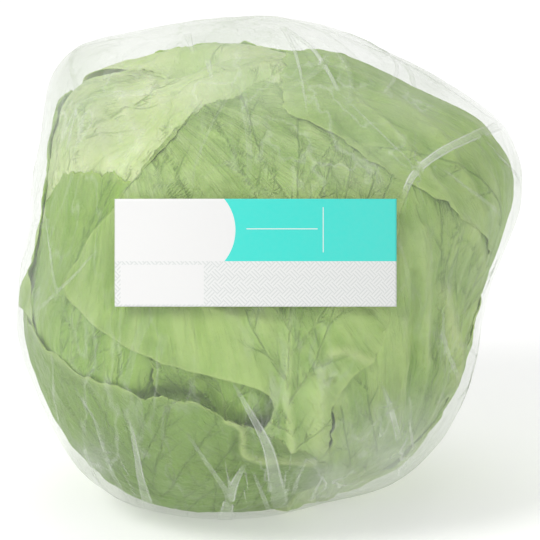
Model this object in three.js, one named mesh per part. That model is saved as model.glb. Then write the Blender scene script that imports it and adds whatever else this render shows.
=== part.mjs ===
// A head of crisphead (iceberg) lettuce in a clear film wrap with a blank paper label.
//
// Frame: millimetres, +Z up, +X to the right, the labelled side faces -Y. The head stands on the
// flattened underside of its film at z = 0 with the cut stem pointing down, and the origin is on
// the floor under the middle of the head's own box.
//
// Every layer is a radial sheet about the head's centre. The film and the leaf mass are rounded
// bodies drawn from an outline seen from the label's side. Leaves are laid from the outside in:
// each one lies on the envelope, or just under the leaves already laid over it, and the closed
// heart bud fills what is left around the top of the stem.
import * as THREE from "three";

// ---- Driving dimensions ---------------------------------------------------------------------
const CENTRE_HEIGHT = 82; // the head's centre above the floor
const HEAD_DEPTH = 80; // half the wrapped head's depth, front to back
const BODY_POWER = 2.3; // 2 is an ellipsoid, more is boxier
const BACK_RADIUS = 87; // the rear of the head rounds off to this radius
const VIEW_TILT = THREE.MathUtils.degToRad(20); // the labelled side leans back by this much

const FILM_THICKNESS = 0.5;
const FILM_CLEARANCE = 1.0; // film to the leaves under it
const FILM_OPENING_DEG = 9; // half angle of the gathered opening under the stem
const FLOOR_BLEND = 3; // rounding between the flat underside and the body

const LABEL_WIDTH = 100; // along its curve
const LABEL_HEIGHT = 37.5;
const LABEL_THICKNESS = 0.4;
const LABEL_BEND_RADIUS = 140;
const LABEL_STANDOFF = 1.2; // the label's middle in front of the head's own surface
const LABEL_OFFSET = { x: -5, up: 6 }; // from the middle of the labelled side
const LABEL_GAP = 0.5; // between label and film
const LABEL_FADE = 24; // the film returns to the head over this distance

// How each kind of leaf is made: its grid, its blade's thickness, the gap to the leaf over it, and
// how far off, in degrees, another leaf can still press on it.
const WRAPPER = { rows: 11, columns: 9, blade: 1.0, gap: 1.1, pressedWithin: 45 };
const HEART = { rows: 8, columns: 7, blade: 2.0, gap: 1.4, pressedWithin: 180 };
const RIB_THICKNESS = 2.4; // extra thickness of the midrib at the leaf's base
const RIB_WIDTH_DEG = 5;

const STEM_CONE_DEG = 11.2;
const STEM_FOOT = 1.4; // height of the cut face
const STEM_TOP = 60;

// How a covered leaf rises again beyond the margin of the leaf over it.
const COVER_REACH_DEG = 14;
const COVER_SLOPE = 0.3;

// ---- The outline of the wrapped head, seen square to the label --------------------------------
// Radii every 15 degrees, anticlockwise from the right.
const FILM_OUTLINE = [
  79, 92, 98, 91, 87, 88, 89, 91, 97, 106, 93, 87, 88, 92, 93, 97, 96, 91, 87, 84, 87, 85, 81, 77,
];
const LEAF_OUTLINE = [
  75, 88, 92, 83, 79, 78, 78, 84, 90, 95, 89, 84, 85, 90, 91, 94, 93, 88, 81, 80, 81, 79, 78, 74,
];

const FILM_BODY = { outline: FILM_OUTLINE, depth: HEAD_DEPTH, floor: 0 };
const FILM_INSIDE = {
  outline: FILM_OUTLINE.map((r) => r - FILM_THICKNESS),
  depth: HEAD_DEPTH - FILM_THICKNESS,
  floor: FILM_THICKNESS,
};
const LEAF_BODY = { outline: LEAF_OUTLINE, depth: HEAD_DEPTH - 2.2, floor: STEM_FOOT };

// ---- Leaves, outermost first ------------------------------------------------------------------
// heading: compass angle of the midrib, 0 towards the label and 90 towards +X.
// rows: stations along the midrib, each [arc from the stem's axis, width to the left, width to
// the right], in degrees of arc about the head's centre.
// round: how far the tip's corners fall back, in degrees. sink: millimetres below the envelope.
const WRAPPER_LEAVES = [
  {
    name: "wrapper_leaf_lower_left",
    heading: -35,
    sink: 0,
    round: [-6, 8],
    rows: [[13, 12, 12], [28, 34, 34], [44, 50, 38], [60, 58, 34], [72, 60, 29], [79, 60, 27]],
  },
  {
    name: "wrapper_leaf_upper_right",
    heading: 85,
    sink: 0.6,
    round: [4, 20],
    rows: [
      [13, 10, 12], [42, 8, 34], [72, 6, 46], [98, 8, 48], [118, 26, 46], [148, 31, 42], [176, 27, 26],
    ],
  },
  {
    name: "wrapper_leaf_back",
    heading: -172,
    sink: 0,
    round: [10, 10],
    rows: [[13, 12, 12], [40, 34, 30], [70, 48, 44], [100, 50, 50], [128, 42, 46], [150, 26, 34]],
  },
  {
    name: "wrapper_leaf_front",
    heading: 8,
    sink: 0,
    round: [14, 6],
    rows: [
      [13, 10, 9], [45, 8, 8], [73, 8, 8], [86, 26, 19], [97, 50, 24], [116, 62, 26], [138, 50, 30],
      [160, 28, 32],
    ],
  },
  {
    name: "wrapper_leaf_right",
    heading: 45,
    sink: 1,
    round: [10, 10],
    rows: [[13, 12, 12], [38, 20, 30], [62, 24, 36], [84, 28, 40], [108, 28, 44], [130, 24, 36]],
  },
  {
    name: "side_leaf_left",
    heading: -108,
    sink: 1,
    round: [16, 10],
    rows: [[13, 12, 12], [40, 34, 32], [70, 46, 40], [100, 48, 36], [126, 38, 28], [146, 24, 18]],
  },
  {
    name: "side_leaf_right",
    heading: 128,
    sink: 1,
    round: [10, 12],
    rows: [[13, 12, 12], [40, 32, 34], [70, 44, 46], [100, 46, 48], [130, 40, 40], [152, 24, 26]],
  },
  {
    name: "under_leaf_front",
    heading: -8,
    sink: 3,
    round: [8, 8],
    rows: [[13, 12, 12], [40, 18, 24], [66, 22, 30], [90, 22, 32], [114, 16, 24]],
  },
  {
    name: "under_leaf_left",
    heading: -52,
    sink: 4,
    round: [12, 8],
    rows: [[13, 12, 12], [42, 30, 28], [70, 40, 36], [98, 42, 38], [126, 30, 28]],
  },
  {
    name: "crown_leaf_front",
    heading: 2,
    sink: 2,
    round: [2, 2],
    rows: [[13, 10, 10], [50, 28, 28], [90, 42, 42], [125, 40, 40], [152, 26, 28], [174, 15, 15]],
  },
  {
    name: "pale_leaf_upper_left",
    heading: -58,
    sink: 2,
    round: [10, 8],
    rows: [[13, 10, 10], [46, 30, 30], [82, 46, 44], [118, 48, 50], [146, 38, 46], [168, 20, 30]],
  },
  {
    name: "crown_leaf_back",
    heading: 150,
    sink: 2,
    round: [14, 14],
    rows: [[13, 12, 12], [48, 34, 34], [88, 52, 52], [124, 52, 52], [154, 38, 38], [178, 20, 20]],
  },
];

// The heart's own leaves are wide cups, one round the other at the golden angle.
const HEART_LEAF_COUNT = 8;
const GOLDEN_ANGLE = 137.5;
const HEART_LEAVES = Array.from({ length: HEART_LEAF_COUNT }, (_, i) => ({
  name: `heart_leaf_${String(i + 1).padStart(2, "0")}`,
  heading: 20 + i * GOLDEN_ANGLE,
  sink: 2,
  round: [16, 16],
  rows: [[13, 9, 9], [46, 40, 40], [84, 62, 62], [120, 62, 62], [150, 44, 44], [172, 24, 24]],
}));

// ---- Directions and shape of the head ----------------------------------------------------------
const CENTRE = new THREE.Vector3(0, 0, CENTRE_HEIGHT);
const RIGHT = new THREE.Vector3(1, 0, 0);
const FRONT = new THREE.Vector3(0, -Math.cos(VIEW_TILT), Math.sin(VIEW_TILT));
const UP = new THREE.Vector3(0, Math.sin(VIEW_TILT), Math.cos(VIEW_TILT));

const radians = THREE.MathUtils.degToRad;
const smoothstep = THREE.MathUtils.smoothstep;
const mix = THREE.MathUtils.lerp;

// A closed curve through evenly spaced values, read at a fraction of a turn.
function aroundOutline(values, turn) {
  const at = ((turn % 1) + 1) % 1 * values.length;
  const i = Math.floor(at);
  const f = at - i;
  const value = (k) => values[(k + values.length) % values.length];
  return catmullRom(value(i - 1), value(i), value(i + 1), value(i + 2), f);
}

function catmullRom(a, b, c, d, f) {
  return b + 0.5 * f * (c - a + f * (2 * a - 5 * b + 4 * c - d + f * (3 * (b - c) + d - a)));
}

// Equal to the smaller value, and rounded off where the two are within `blend`.
function smoothMin(a, b, blend) {
  const h = Math.max(blend - Math.abs(a - b), 0) / blend;
  return Math.min(a, b) - (h * h * blend) / 4;
}

// Distance from the centre to a rounded body's surface, flattened where it meets its floor.
function bodyRadius(direction, body) {
  const along = direction.dot(FRONT);
  const across = Math.sqrt(Math.max(0, 1 - along * along));
  const turn = Math.atan2(direction.dot(UP), direction.dot(RIGHT)) / (2 * Math.PI);
  const outline = aroundOutline(body.outline, turn);
  const rear = smoothstep(-along, 0, 0.6);
  const wide = mix(outline, Math.min(BACK_RADIUS, outline + 4), rear);
  const round =
    (Math.pow(across / wide, BODY_POWER) + Math.pow(Math.abs(along) / body.depth, BODY_POWER)) **
    (-1 / BODY_POWER);
  if (direction.z >= -0.05) return round;
  const toFloor = (CENTRE_HEIGHT - body.floor) / -direction.z;
  return smoothMin(round, toFloor, FLOOR_BLEND);
}

// The film under the label follows the label's bend, and fades back to the head around it.
function filmRadius(direction, body, labelSide) {
  const base = bodyRadius(direction, body);
  const along = direction.dot(FRONT);
  if (along < 0.2) return base;
  const x = direction.dot(RIGHT);
  const axisDepth = HEAD_DEPTH + LABEL_STANDOFF - LABEL_BEND_RADIUS;
  const reach = LABEL_BEND_RADIUS - labelSide;
  const a = x * x + along * along;
  const b = x * LABEL_OFFSET.x + along * axisDepth;
  const c = LABEL_OFFSET.x ** 2 + axisDepth ** 2 - reach ** 2;
  const bent = (b + Math.sqrt(b * b - a * c)) / a;
  const beyondX = Math.abs(bent * x - LABEL_OFFSET.x) - LABEL_WIDTH / 2;
  const beyondY = Math.abs(bent * direction.dot(UP) - LABEL_OFFSET.up) - LABEL_HEIGHT / 2;
  const outside = Math.hypot(Math.max(beyondX, 0), Math.max(beyondY, 0));
  return mix(bent, base, smoothstep(outside, 0, LABEL_FADE));
}

function pointAt(direction, radius) {
  return direction.clone().multiplyScalar(radius).add(CENTRE);
}

// ---- Closed sheets -------------------------------------------------------------------------------
// Two grids of points, outer and inner, joined by a rim. Rows run up and columns run to the left
// as seen from outside. A wrapped grid joins its last column to its first and needs a pole.
function closedSheet(outer, inner, { wrapped = false, pole = null } = {}) {
  const rows = outer.length;
  const columns = outer[0].length;
  const points = [...outer.flat(), ...inner.flat()];
  const innerStart = rows * columns;
  const index = [];
  const quad = (a, b, c, d) => index.push(a, b, c, a, c, d);
  const bothFaces = (a, b, c) => index.push(a, b, c, c + innerStart, b + innerStart, a + innerStart);
  const spans = wrapped ? columns : columns - 1;
  const at = (r, c) => r * columns + (c % columns);
  // A cell is cut from its upper outer corner, so that a rounded tip leaves no slivers.
  for (let r = 0; r < rows - 1; r++) {
    for (let c = 0; c < spans; c++) {
      const cell = [at(r, c), at(r, c + 1), at(r + 1, c + 1), at(r + 1, c)];
      if (!wrapped && c < spans / 2) cell.push(cell.shift());
      bothFaces(cell[0], cell[1], cell[2]);
      bothFaces(cell[0], cell[2], cell[3]);
    }
  }
  const rim = (from, to) => quad(to, from, from + innerStart, to + innerStart);
  for (let c = 0; c < spans; c++) {
    rim(at(0, c), at(0, c + 1));
    if (!pole) rim(at(rows - 1, c + 1), at(rows - 1, c));
  }
  if (!wrapped) {
    for (let r = 0; r < rows - 1; r++) {
      rim(at(r + 1, 0), at(r, 0));
      rim(at(r, columns - 1), at(r + 1, columns - 1));
    }
  }
  if (pole) {
    const top = points.push(pole.outer, pole.inner) - 2;
    for (let c = 0; c < columns; c++) {
      const a = at(rows - 1, c);
      const b = at(rows - 1, c + 1);
      index.push(a, b, top, b + innerStart, a + innerStart, top + 1);
    }
  }
  return indexedGeometry(points, index);
}

function indexedGeometry(points, index) {
  const geometry = new THREE.BufferGeometry().setFromPoints(points);
  geometry.setIndex(index);
  geometry.computeVertexNormals();
  return geometry;
}

// ---- Leaves --------------------------------------------------------------------------------------
// A leaf's station at v from 0 at the base to 1 at the tip: [arc, left width, right width].
function stationAt(rows, v) {
  const at = Math.min(v, 0.9999) * (rows.length - 1);
  const i = Math.floor(at);
  const row = (k) => rows[Math.min(Math.max(k, 0), rows.length - 1)];
  return [0, 1, 2].map((k) =>
    catmullRom(row(i - 1)[k], row(i)[k], row(i + 1)[k], row(i + 2)[k], at - i),
  );
}

// The direction from the head's centre to the point u across and v along a leaf.
function leafDirection(leaf, u, v) {
  const [arc, left, right] = stationAt(leaf.rows, v);
  const fall = leaf.round[u < 0 ? 0 : 1] * Math.pow(Math.abs(u), 2.2) * v ** 2;
  const s = radians(arc - fall);
  const t = radians(u * (u < 0 ? left : right));
  const heading = radians(leaf.heading);
  const outward = new THREE.Vector3(Math.sin(heading), -Math.cos(heading), 0);
  const sideways = new THREE.Vector3(Math.cos(heading), Math.sin(heading), 0);
  return outward
    .multiplyScalar(Math.sin(s) * Math.cos(t))
    .addScaledVector(new THREE.Vector3(0, 0, -1), Math.cos(s) * Math.cos(t))
    .addScaledVector(sideways, Math.sin(t));
}

// Thickness at u, v: a blade with a midrib that thins from the base to the tip.
function leafThickness(leaf, u, v, blade) {
  const [, left, right] = stationAt(leaf.rows, v);
  const aside = (Math.abs(u) * (u < 0 ? left : right)) / RIB_WIDTH_DEG;
  return blade + RIB_THICKNESS * (1 - v) ** 1.5 * Math.exp(-aside * aside);
}

// The largest radius that keeps a direction under every leaf point already laid.
function radiusUnder(laid, direction, { gap, pressedWithin }) {
  const nearest = Math.cos(radians(pressedWithin));
  let limit = Infinity;
  for (const point of laid) {
    const cosine = direction.dot(point.direction);
    if (cosine < nearest) continue;
    const angle = Math.acos(THREE.MathUtils.clamp(cosine, -1, 1));
    const beyond = Math.max(0, angle - radians(COVER_REACH_DEG)) * point.inner;
    limit = Math.min(limit, point.inner - gap + beyond * COVER_SLOPE);
  }
  return limit;
}

function makeLeaf(leaf, laid, kind) {
  const outer = [];
  const inner = [];
  const placed = [];
  for (let r = 0; r < kind.rows; r++) {
    const v = r / (kind.rows - 1);
    outer.push([]);
    inner.push([]);
    for (let c = 0; c < kind.columns; c++) {
      const u = (2 * c) / (kind.columns - 1) - 1;
      const direction = leafDirection(leaf, u, v);
      const envelope = bodyRadius(direction, LEAF_BODY) - leaf.sink * smoothstep(v, 0.1, 0.4);
      const radius = Math.min(envelope, radiusUnder(laid, direction, kind));
      const within = radius - leafThickness(leaf, u, v, kind.blade);
      outer[r].push(pointAt(direction, radius));
      inner[r].push(pointAt(direction, within));
      placed.push({ direction, inner: within });
    }
  }
  laid.push(...placed);
  return closedSheet(outer, inner);
}

// ---- Heart bud, stem, film and label ---------------------------------------------------------------
const BUD_GRID = { rings: 9, columns: 14 };

// The closed middle of the head: innermost leaves too tightly folded to tell apart.
function makeBud(laid) {
  const ceiling = STEM_TOP + 1;
  const radiusTo = (direction) => {
    const under = radiusUnder(laid, direction, HEART);
    if (direction.z > -0.2) return under;
    return Math.min(under, (CENTRE_HEIGHT - ceiling) / -direction.z);
  };
  const points = [];
  const index = [];
  const down = new THREE.Vector3(0, 0, -1);
  const up = new THREE.Vector3(0, 0, 1);
  const { rings, columns } = BUD_GRID;
  for (let r = 0; r < rings; r++) {
    const polar = (Math.PI * (r + 1)) / (rings + 1);
    for (let c = 0; c < columns; c++) {
      const turn = (2 * Math.PI * c) / columns;
      const direction = new THREE.Vector3(
        Math.sin(polar) * Math.cos(turn),
        Math.sin(polar) * Math.sin(turn),
        -Math.cos(polar),
      );
      points.push(pointAt(direction, radiusTo(direction)));
    }
  }
  const bottom = points.push(pointAt(down, radiusTo(down))) - 1;
  const top = points.push(pointAt(up, radiusTo(up))) - 1;
  for (let c = 0; c < columns; c++) {
    const next = (c + 1) % columns;
    for (let r = 0; r < rings - 1; r++) {
      const a = r * columns + c;
      const b = r * columns + next;
      index.push(a, b, b + columns, a, b + columns, a + columns);
    }
    const last = (rings - 1) * columns;
    index.push(bottom, next, c, last + c, last + next, top);
  }
  return indexedGeometry(points, index);
}

// The cut stump at the foot and the tapering core above it.
function makeStem() {
  const radiusAt = (z) => (CENTRE_HEIGHT - z) * Math.tan(radians(STEM_CONE_DEG));
  const profile = [
    new THREE.Vector2(0, STEM_FOOT),
    new THREE.Vector2(radiusAt(STEM_FOOT) - 1.2, STEM_FOOT),
    new THREE.Vector2(radiusAt(STEM_FOOT + 1), STEM_FOOT + 1),
    new THREE.Vector2(radiusAt(STEM_TOP - 3), STEM_TOP - 3),
    new THREE.Vector2(radiusAt(STEM_TOP - 3) * 0.6, STEM_TOP - 0.8),
    new THREE.Vector2(0, STEM_TOP),
  ];
  return new THREE.LatheGeometry(profile, 24).rotateX(Math.PI / 2);
}

const FILM_GRID = { rings: 20, columns: 36 };

// A thin closed sheet round the whole head, open only where it is gathered under the stem.
function makeFilm() {
  const { rings, columns } = FILM_GRID;
  const open = radians(FILM_OPENING_DEG);
  const outer = [];
  const inner = [];
  const outerAt = (direction) => filmRadius(direction, FILM_BODY, LABEL_GAP);
  const innerAt = (direction) =>
    Math.max(
      filmRadius(direction, FILM_INSIDE, LABEL_GAP + FILM_THICKNESS),
      bodyRadius(direction, LEAF_BODY) + FILM_CLEARANCE * smoothstep(direction.z, -0.75, -0.5),
    );
  for (let r = 0; r < rings; r++) {
    const polar = mix(open, Math.PI, r / rings);
    outer.push([]);
    inner.push([]);
    for (let c = 0; c < columns; c++) {
      const turn = (2 * Math.PI * c) / columns;
      const direction = new THREE.Vector3(
        Math.sin(polar) * Math.cos(turn),
        Math.sin(polar) * Math.sin(turn),
        -Math.cos(polar),
      );
      const within = innerAt(direction);
      outer[r].push(pointAt(direction, Math.max(outerAt(direction), within + FILM_THICKNESS)));
      inner[r].push(pointAt(direction, within));
    }
  }
  const top = new THREE.Vector3(0, 0, 1);
  const pole = { outer: pointAt(top, outerAt(top)), inner: pointAt(top, innerAt(top)) };
  return closedSheet(outer, inner, { wrapped: true, pole });
}

// A thin rectangle bent about the head's upright axis.
function makeLabel() {
  const half = LABEL_WIDTH / 2 / LABEL_BEND_RADIUS;
  const axis = LABEL_BEND_RADIUS - LABEL_STANDOFF - HEAD_DEPTH;
  const section = new THREE.Shape();
  const front = -Math.PI / 2;
  section.absarc(0, axis, LABEL_BEND_RADIUS + LABEL_THICKNESS, front - half, front + half, false);
  section.absarc(0, axis, LABEL_BEND_RADIUS, front + half, front - half, true);
  const options = { depth: LABEL_HEIGHT, bevelEnabled: false, curveSegments: 16 };
  return new THREE.ExtrudeGeometry(section, options);
}

// ---- The head ------------------------------------------------------------------------------------
const finish = (color, roughness) => new THREE.MeshStandardMaterial({ color, roughness });
const OUTER_LEAF = finish(0x9cbb7a, 0.55);
const PALE_LEAF = finish(0xcadf9f, 0.5);
const HEART_LEAF = finish(0xdde8b4, 0.5);
const STEM_FLESH = finish(0xeef0d2, 0.6);
const FILM = new THREE.MeshStandardMaterial({
  color: 0xf2f4ef,
  roughness: 0.25,
  transparent: true,
  opacity: 0.3,
});
const PAPER = finish(0xf6f6f4, 0.4);

const head = new THREE.Group();

// Adds a named piece, drawn with the stem's axis on Z.
function add(name, geometry, material) {
  const mesh = new THREE.Mesh(geometry, material);
  mesh.name = name;
  head.add(mesh);
  return mesh;
}

const laid = [];
for (const leaf of WRAPPER_LEAVES) {
  const material = leaf.name.startsWith("pale") ? PALE_LEAF : OUTER_LEAF;
  add(leaf.name, makeLeaf(leaf, laid, WRAPPER), material);
}
for (const leaf of HEART_LEAVES) {
  add(leaf.name, makeLeaf(leaf, laid, HEART), HEART_LEAF);
}
add("heart_bud", makeBud(laid), HEART_LEAF);
add("stem_core", makeStem(), STEM_FLESH);
add("film_wrap", makeFilm(), FILM);

const label = add("label", makeLabel(), PAPER);
label.rotation.x = -VIEW_TILT;
label.position
  .copy(CENTRE)
  .addScaledVector(RIGHT, LABEL_OFFSET.x)
  .addScaledVector(UP, LABEL_OFFSET.up - LABEL_HEIGHT / 2);

// Moves the head so that the origin is under the middle of its box.
const box = new THREE.Box3().setFromObject(head, true);
const middle = box.getCenter(new THREE.Vector3()).setZ(box.min.z);
for (const piece of head.children) piece.position.sub(middle);

export default head;
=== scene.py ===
"""A head of crisphead lettuce in clear film, with a bare paper label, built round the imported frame.

Every layer is a sheet round the head's centre. The film is made first, then the leaves from the
outermost inwards, so that each one is pressed under what already lies over it.
"""

import logging
import math
from dataclasses import dataclass, field
from enum import Enum

import bmesh
import bpy
import numpy as np
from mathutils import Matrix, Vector
from mathutils.bvhtree import BVHTree
from mathutils.kdtree import KDTree


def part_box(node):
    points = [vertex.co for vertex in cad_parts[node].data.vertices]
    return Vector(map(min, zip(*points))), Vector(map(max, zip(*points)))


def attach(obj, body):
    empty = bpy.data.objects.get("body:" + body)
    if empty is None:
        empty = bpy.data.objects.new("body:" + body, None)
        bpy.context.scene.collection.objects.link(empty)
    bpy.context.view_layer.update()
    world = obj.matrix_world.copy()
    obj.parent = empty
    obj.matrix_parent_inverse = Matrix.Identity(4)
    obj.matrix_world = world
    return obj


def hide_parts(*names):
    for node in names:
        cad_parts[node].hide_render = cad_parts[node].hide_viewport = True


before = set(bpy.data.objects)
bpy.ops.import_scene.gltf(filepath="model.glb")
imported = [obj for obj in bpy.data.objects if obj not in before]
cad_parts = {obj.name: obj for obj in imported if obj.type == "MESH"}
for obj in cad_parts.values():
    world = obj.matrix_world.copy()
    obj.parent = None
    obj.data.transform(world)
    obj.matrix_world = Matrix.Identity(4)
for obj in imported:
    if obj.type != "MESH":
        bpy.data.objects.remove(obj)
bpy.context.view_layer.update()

LOG = logging.getLogger("lettuce")
MM = 0.001

Array = np.ndarray

HASH_PRIMES = (73856093, 19349663, 83492791)
HASH_SEED = 2654435761
HASH_MIX = 1274126177
EQUATOR_DEGREES = 90.0


# ---- Numbers shared by the pieces ------------------------------------------------------


def catmull_rom(stations: Array, at: Array) -> Array:
    """Reads a smooth curve through evenly spaced stations.

    Args:
        stations: values, one row for each station.
        at: places to read, counted in stations from 0.

    Returns:
        One row for each place.
    """
    last = len(stations) - 1
    i = np.clip(np.floor(at).astype(int), 0, last - 1)
    f = (at - i)[:, None]
    a, b, c, d = (stations[np.clip(i + k, 0, last)] for k in (-1, 0, 1, 2))
    return b + 0.5 * f * (c - a + f * (2 * a - 5 * b + 4 * c - d + f * (3 * (b - c) + d - a)))


def smoothstep(low: float, high: float, x: Array) -> Array:
    """Rises smoothly from 0 at low to 1 at high."""
    t = np.clip((x - low) / (high - low), 0, 1)
    return t * t * (3 - 2 * t)


def value_noise(points: Array, size: float, seed: int) -> Array:
    """Smooth random values from -1 to 1.

    Args:
        points: places, any number of rows of three.
        size: how far apart the random values lie, in the points' unit.
        seed: picks the pattern.

    Returns:
        One value for each point, in the points' own layout.
    """
    p = points / size + 57.3
    cell = np.floor(p).astype(np.int64)
    f = p - cell
    f = f * f * (3 - 2 * f)
    total = np.zeros(points.shape[:-1])
    for corner in range(8):
        step = np.array([corner & 1, corner >> 1 & 1, corner >> 2 & 1])
        k = cell + step
        mixed = seed * HASH_SEED
        for axis, prime in enumerate(HASH_PRIMES):
            mixed = mixed ^ (k[..., axis] * prime)
        mixed = (mixed ^ (mixed >> 13)) * HASH_MIX & 0x7FFFFFFF
        value = mixed / 0x3FFFFFFF - 1
        total += value * np.prod(np.where(step, f, 1 - f), axis=-1)
    return total


def blurred(grid: Array, sigma_rows: float, sigma_columns: float, wrapped: bool = False) -> Array:
    """A grid of numbers smoothed along its rows and columns, with its borders held."""
    for axis, sigma in ((0, sigma_rows), (1, sigma_columns)):
        reach = max(1, int(3 * sigma))
        weights = np.exp(-0.5 * (np.arange(-reach, reach + 1) / sigma) ** 2)
        pad = [(reach, reach) if k == axis else (0, 0) for k in (0, 1)]
        padded = np.pad(grid, pad, mode="wrap" if wrapped and axis == 1 else "edge")
        grid = np.apply_along_axis(np.convolve, axis, padded, weights / weights.sum(), "valid")
    return grid


def filled(grid: Array) -> Array:
    """A grid whose missing numbers are filled from their nearest neighbours."""
    grid = grid.copy()
    while np.isnan(grid).any():
        padded = np.pad(grid, 1, constant_values=np.nan)
        near = np.stack([padded[:-2, 1:-1], padded[2:, 1:-1], padded[1:-1, :-2], padded[1:-1, 2:]])
        known = ~np.isnan(near)
        total = np.where(known, near, 0).sum(0)
        gap = np.isnan(grid) & known.any(0)
        grid[gap] = total[gap] / known.sum(0)[gap]
    return grid


def both(values: Array) -> Array:
    """The same numbers for a thin sheet's outer and inner points."""
    return np.concatenate([values.ravel(), values.ravel()])


def kd_tree(places: Array) -> KDTree:
    """Places kept ready for finding the nearest ones, each under its own number."""
    tree = KDTree(len(places))
    for i, place in enumerate(places):
        tree.insert(place, i)
    tree.balance()
    return tree


def ball_directions(polar: Array, turn: Array) -> Array:
    """Unit vectors over a ball, from angles up from its foot and round its axis."""
    ones = np.ones_like(polar * turn)
    return np.stack([np.sin(polar) * np.cos(turn), np.sin(polar) * np.sin(turn), -np.cos(polar) * ones], -1)


# ---- The head's own directions ---------------------------------------------------------


class Head:
    """The centre and viewing directions that every layer is laid out from."""

    CENTRE_HEIGHT = 82 * MM
    TILT = math.radians(20)

    def __init__(self) -> None:
        """Takes the stem's axis from the frame."""
        low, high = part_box("stem_core")
        axis = (low + high) / 2
        self.centre = np.array([axis.x, axis.y, self.CENTRE_HEIGHT])
        self.right = np.array([1.0, 0.0, 0.0])
        self.front = np.array([0.0, -math.cos(self.TILT), math.sin(self.TILT)])
        self.up = np.array([0.0, math.sin(self.TILT), math.cos(self.TILT)])

    def place(self, directions: Array, radii: Array) -> Array:
        """Points at these distances from the centre."""
        return self.centre + directions * radii[..., None]

    def seen(self, points: Array) -> tuple[Array, Array, Array]:
        """How far points lie to the right, upwards and forwards on the labelled side, in mm."""
        away = (points - self.centre) / MM
        return away @ self.right, away @ self.up, away @ self.front


class RadialSurface:
    """A piece's faces, read as distances from the head's centre."""

    OUTSIDE = 0.25

    def __init__(self, head: Head, points: Array, faces: list) -> None:
        """Keeps the faces ready for rays."""
        self.head = head
        self.centre = Vector(head.centre)
        self.tree = BVHTree.FromPolygons(points.tolist(), faces)

    @classmethod
    def of_node(cls, head: Head, node: str) -> "RadialSurface":
        """The surface of a CAD node."""
        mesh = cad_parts[node].data
        points = np.array([v.co for v in mesh.vertices])
        return cls(head, points, [tuple(p.vertices) for p in mesh.polygons])

    def _cast(self, directions: Array, inwards: bool) -> Array:
        """Distance from the centre to the first face met along each direction, or nan."""
        flat = directions.reshape(-1, 3)
        found = np.full(len(flat), np.nan)
        for i, row in enumerate(flat):
            way = Vector(row)
            if inwards:
                hit = self.tree.ray_cast(self.centre + way * self.OUTSIDE, -way)
                if hit[0] is not None:
                    found[i] = self.OUTSIDE - hit[3]
            else:
                hit = self.tree.ray_cast(self.centre, way)
                if hit[0] is not None:
                    found[i] = hit[3]
        return found.reshape(directions.shape[:-1])

    def outer(self, directions: Array) -> Array:
        """Distance to the outside of the piece."""
        return self._cast(directions, True)

    def inner(self, directions: Array) -> Array:
        """Distance to the inside of the piece."""
        return self._cast(directions, False)


class Skin:
    """How far the leaves reach in every direction, whichever leaf happens to lie there."""

    COUNT = 5200
    NEAR = 0.17
    SOFT = 0.08

    def __init__(self, head: Head, nodes: list[str]) -> None:
        """Reads the film and the leaves, and carries the leaves' reach across the gaps between them."""
        i = np.arange(self.COUNT) + 0.5
        height = 1 - 2 * i / self.COUNT
        turn = math.pi * (1 + 5**0.5) * i
        ring = np.sqrt(1 - height**2)
        directions = np.stack([ring * np.cos(turn), ring * np.sin(turn), height], -1)
        film = self._known(RadialSurface.of_node(head, "film_wrap").outer(directions))
        reach = np.nanmax([RadialSurface.of_node(head, n).outer(directions) for n in nodes], axis=0)
        gap = film - self._known(reach)
        self.tree = kd_tree(directions)
        near = [self.tree.find_range(way, self.NEAR) for way in directions]
        tight = np.array([min(gap[k] for _, k, _ in found) for found in near])
        self.values = np.array([self._mean(film - tight, found) for found in near])

    @staticmethod
    def _known(values: Array) -> Array:
        """Values with the missing ones taken from their neighbours in the list."""
        known = ~np.isnan(values)
        return np.interp(np.arange(len(values)), np.flatnonzero(known), values[known])

    def _mean(self, values: Array, found: list) -> float:
        """Weighted mean of the values found round a direction."""
        weights = [math.exp(-((d / self.SOFT) ** 2)) for _, _, d in found]
        return sum(w * values[k] for w, (_, k, _) in zip(weights, found)) / sum(weights)

    def read(self, directions: Array) -> Array:
        """Distance from the centre to the outermost leaf surface along each direction."""
        flat = directions.reshape(-1, 3)
        found = np.array([self._mean(self.values, self.tree.find_n(way, 5)) for way in flat])
        return found.reshape(directions.shape[:-1])


# ---- Meshes ----------------------------------------------------------------------------


def make_mesh(
    name: str, points: Array, faces: Array, attributes: dict[str, Array] | None = None
) -> bpy.types.Object:
    """Makes a smooth-shaded mesh object with its place in its mesh.

    Args:
        name: the piece's name.
        points: one row of three for each point, in metres.
        faces: one row for each face, all with the same number of corners.
        attributes: numbers or vectors for each point, by name.

    Returns:
        The new object, linked to the scene.
    """
    mesh = bpy.data.meshes.new(name)
    faces = np.asarray(faces, np.int32)
    corners = faces.shape[1]
    mesh.vertices.add(len(points))
    mesh.vertices.foreach_set("co", np.asarray(points, np.float32).ravel())
    mesh.loops.add(faces.size)
    mesh.loops.foreach_set("vertex_index", faces.ravel())
    mesh.polygons.add(len(faces))
    mesh.polygons.foreach_set("loop_start", np.arange(0, faces.size, corners, dtype=np.int32))
    mesh.update(calc_edges=True)
    mesh.validate()
    for key, values in (attributes or {}).items():
        values = np.asarray(values, np.float32)
        if values.ndim == 1:
            mesh.attributes.new(key, "FLOAT", "POINT").data.foreach_set("value", values)
        else:
            mesh.attributes.new(key, "FLOAT_VECTOR", "POINT").data.foreach_set("vector", values.ravel())
    mesh.shade_smooth()
    piece = bpy.data.objects.new(name, mesh)
    bpy.context.scene.collection.objects.link(piece)
    return piece


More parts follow.
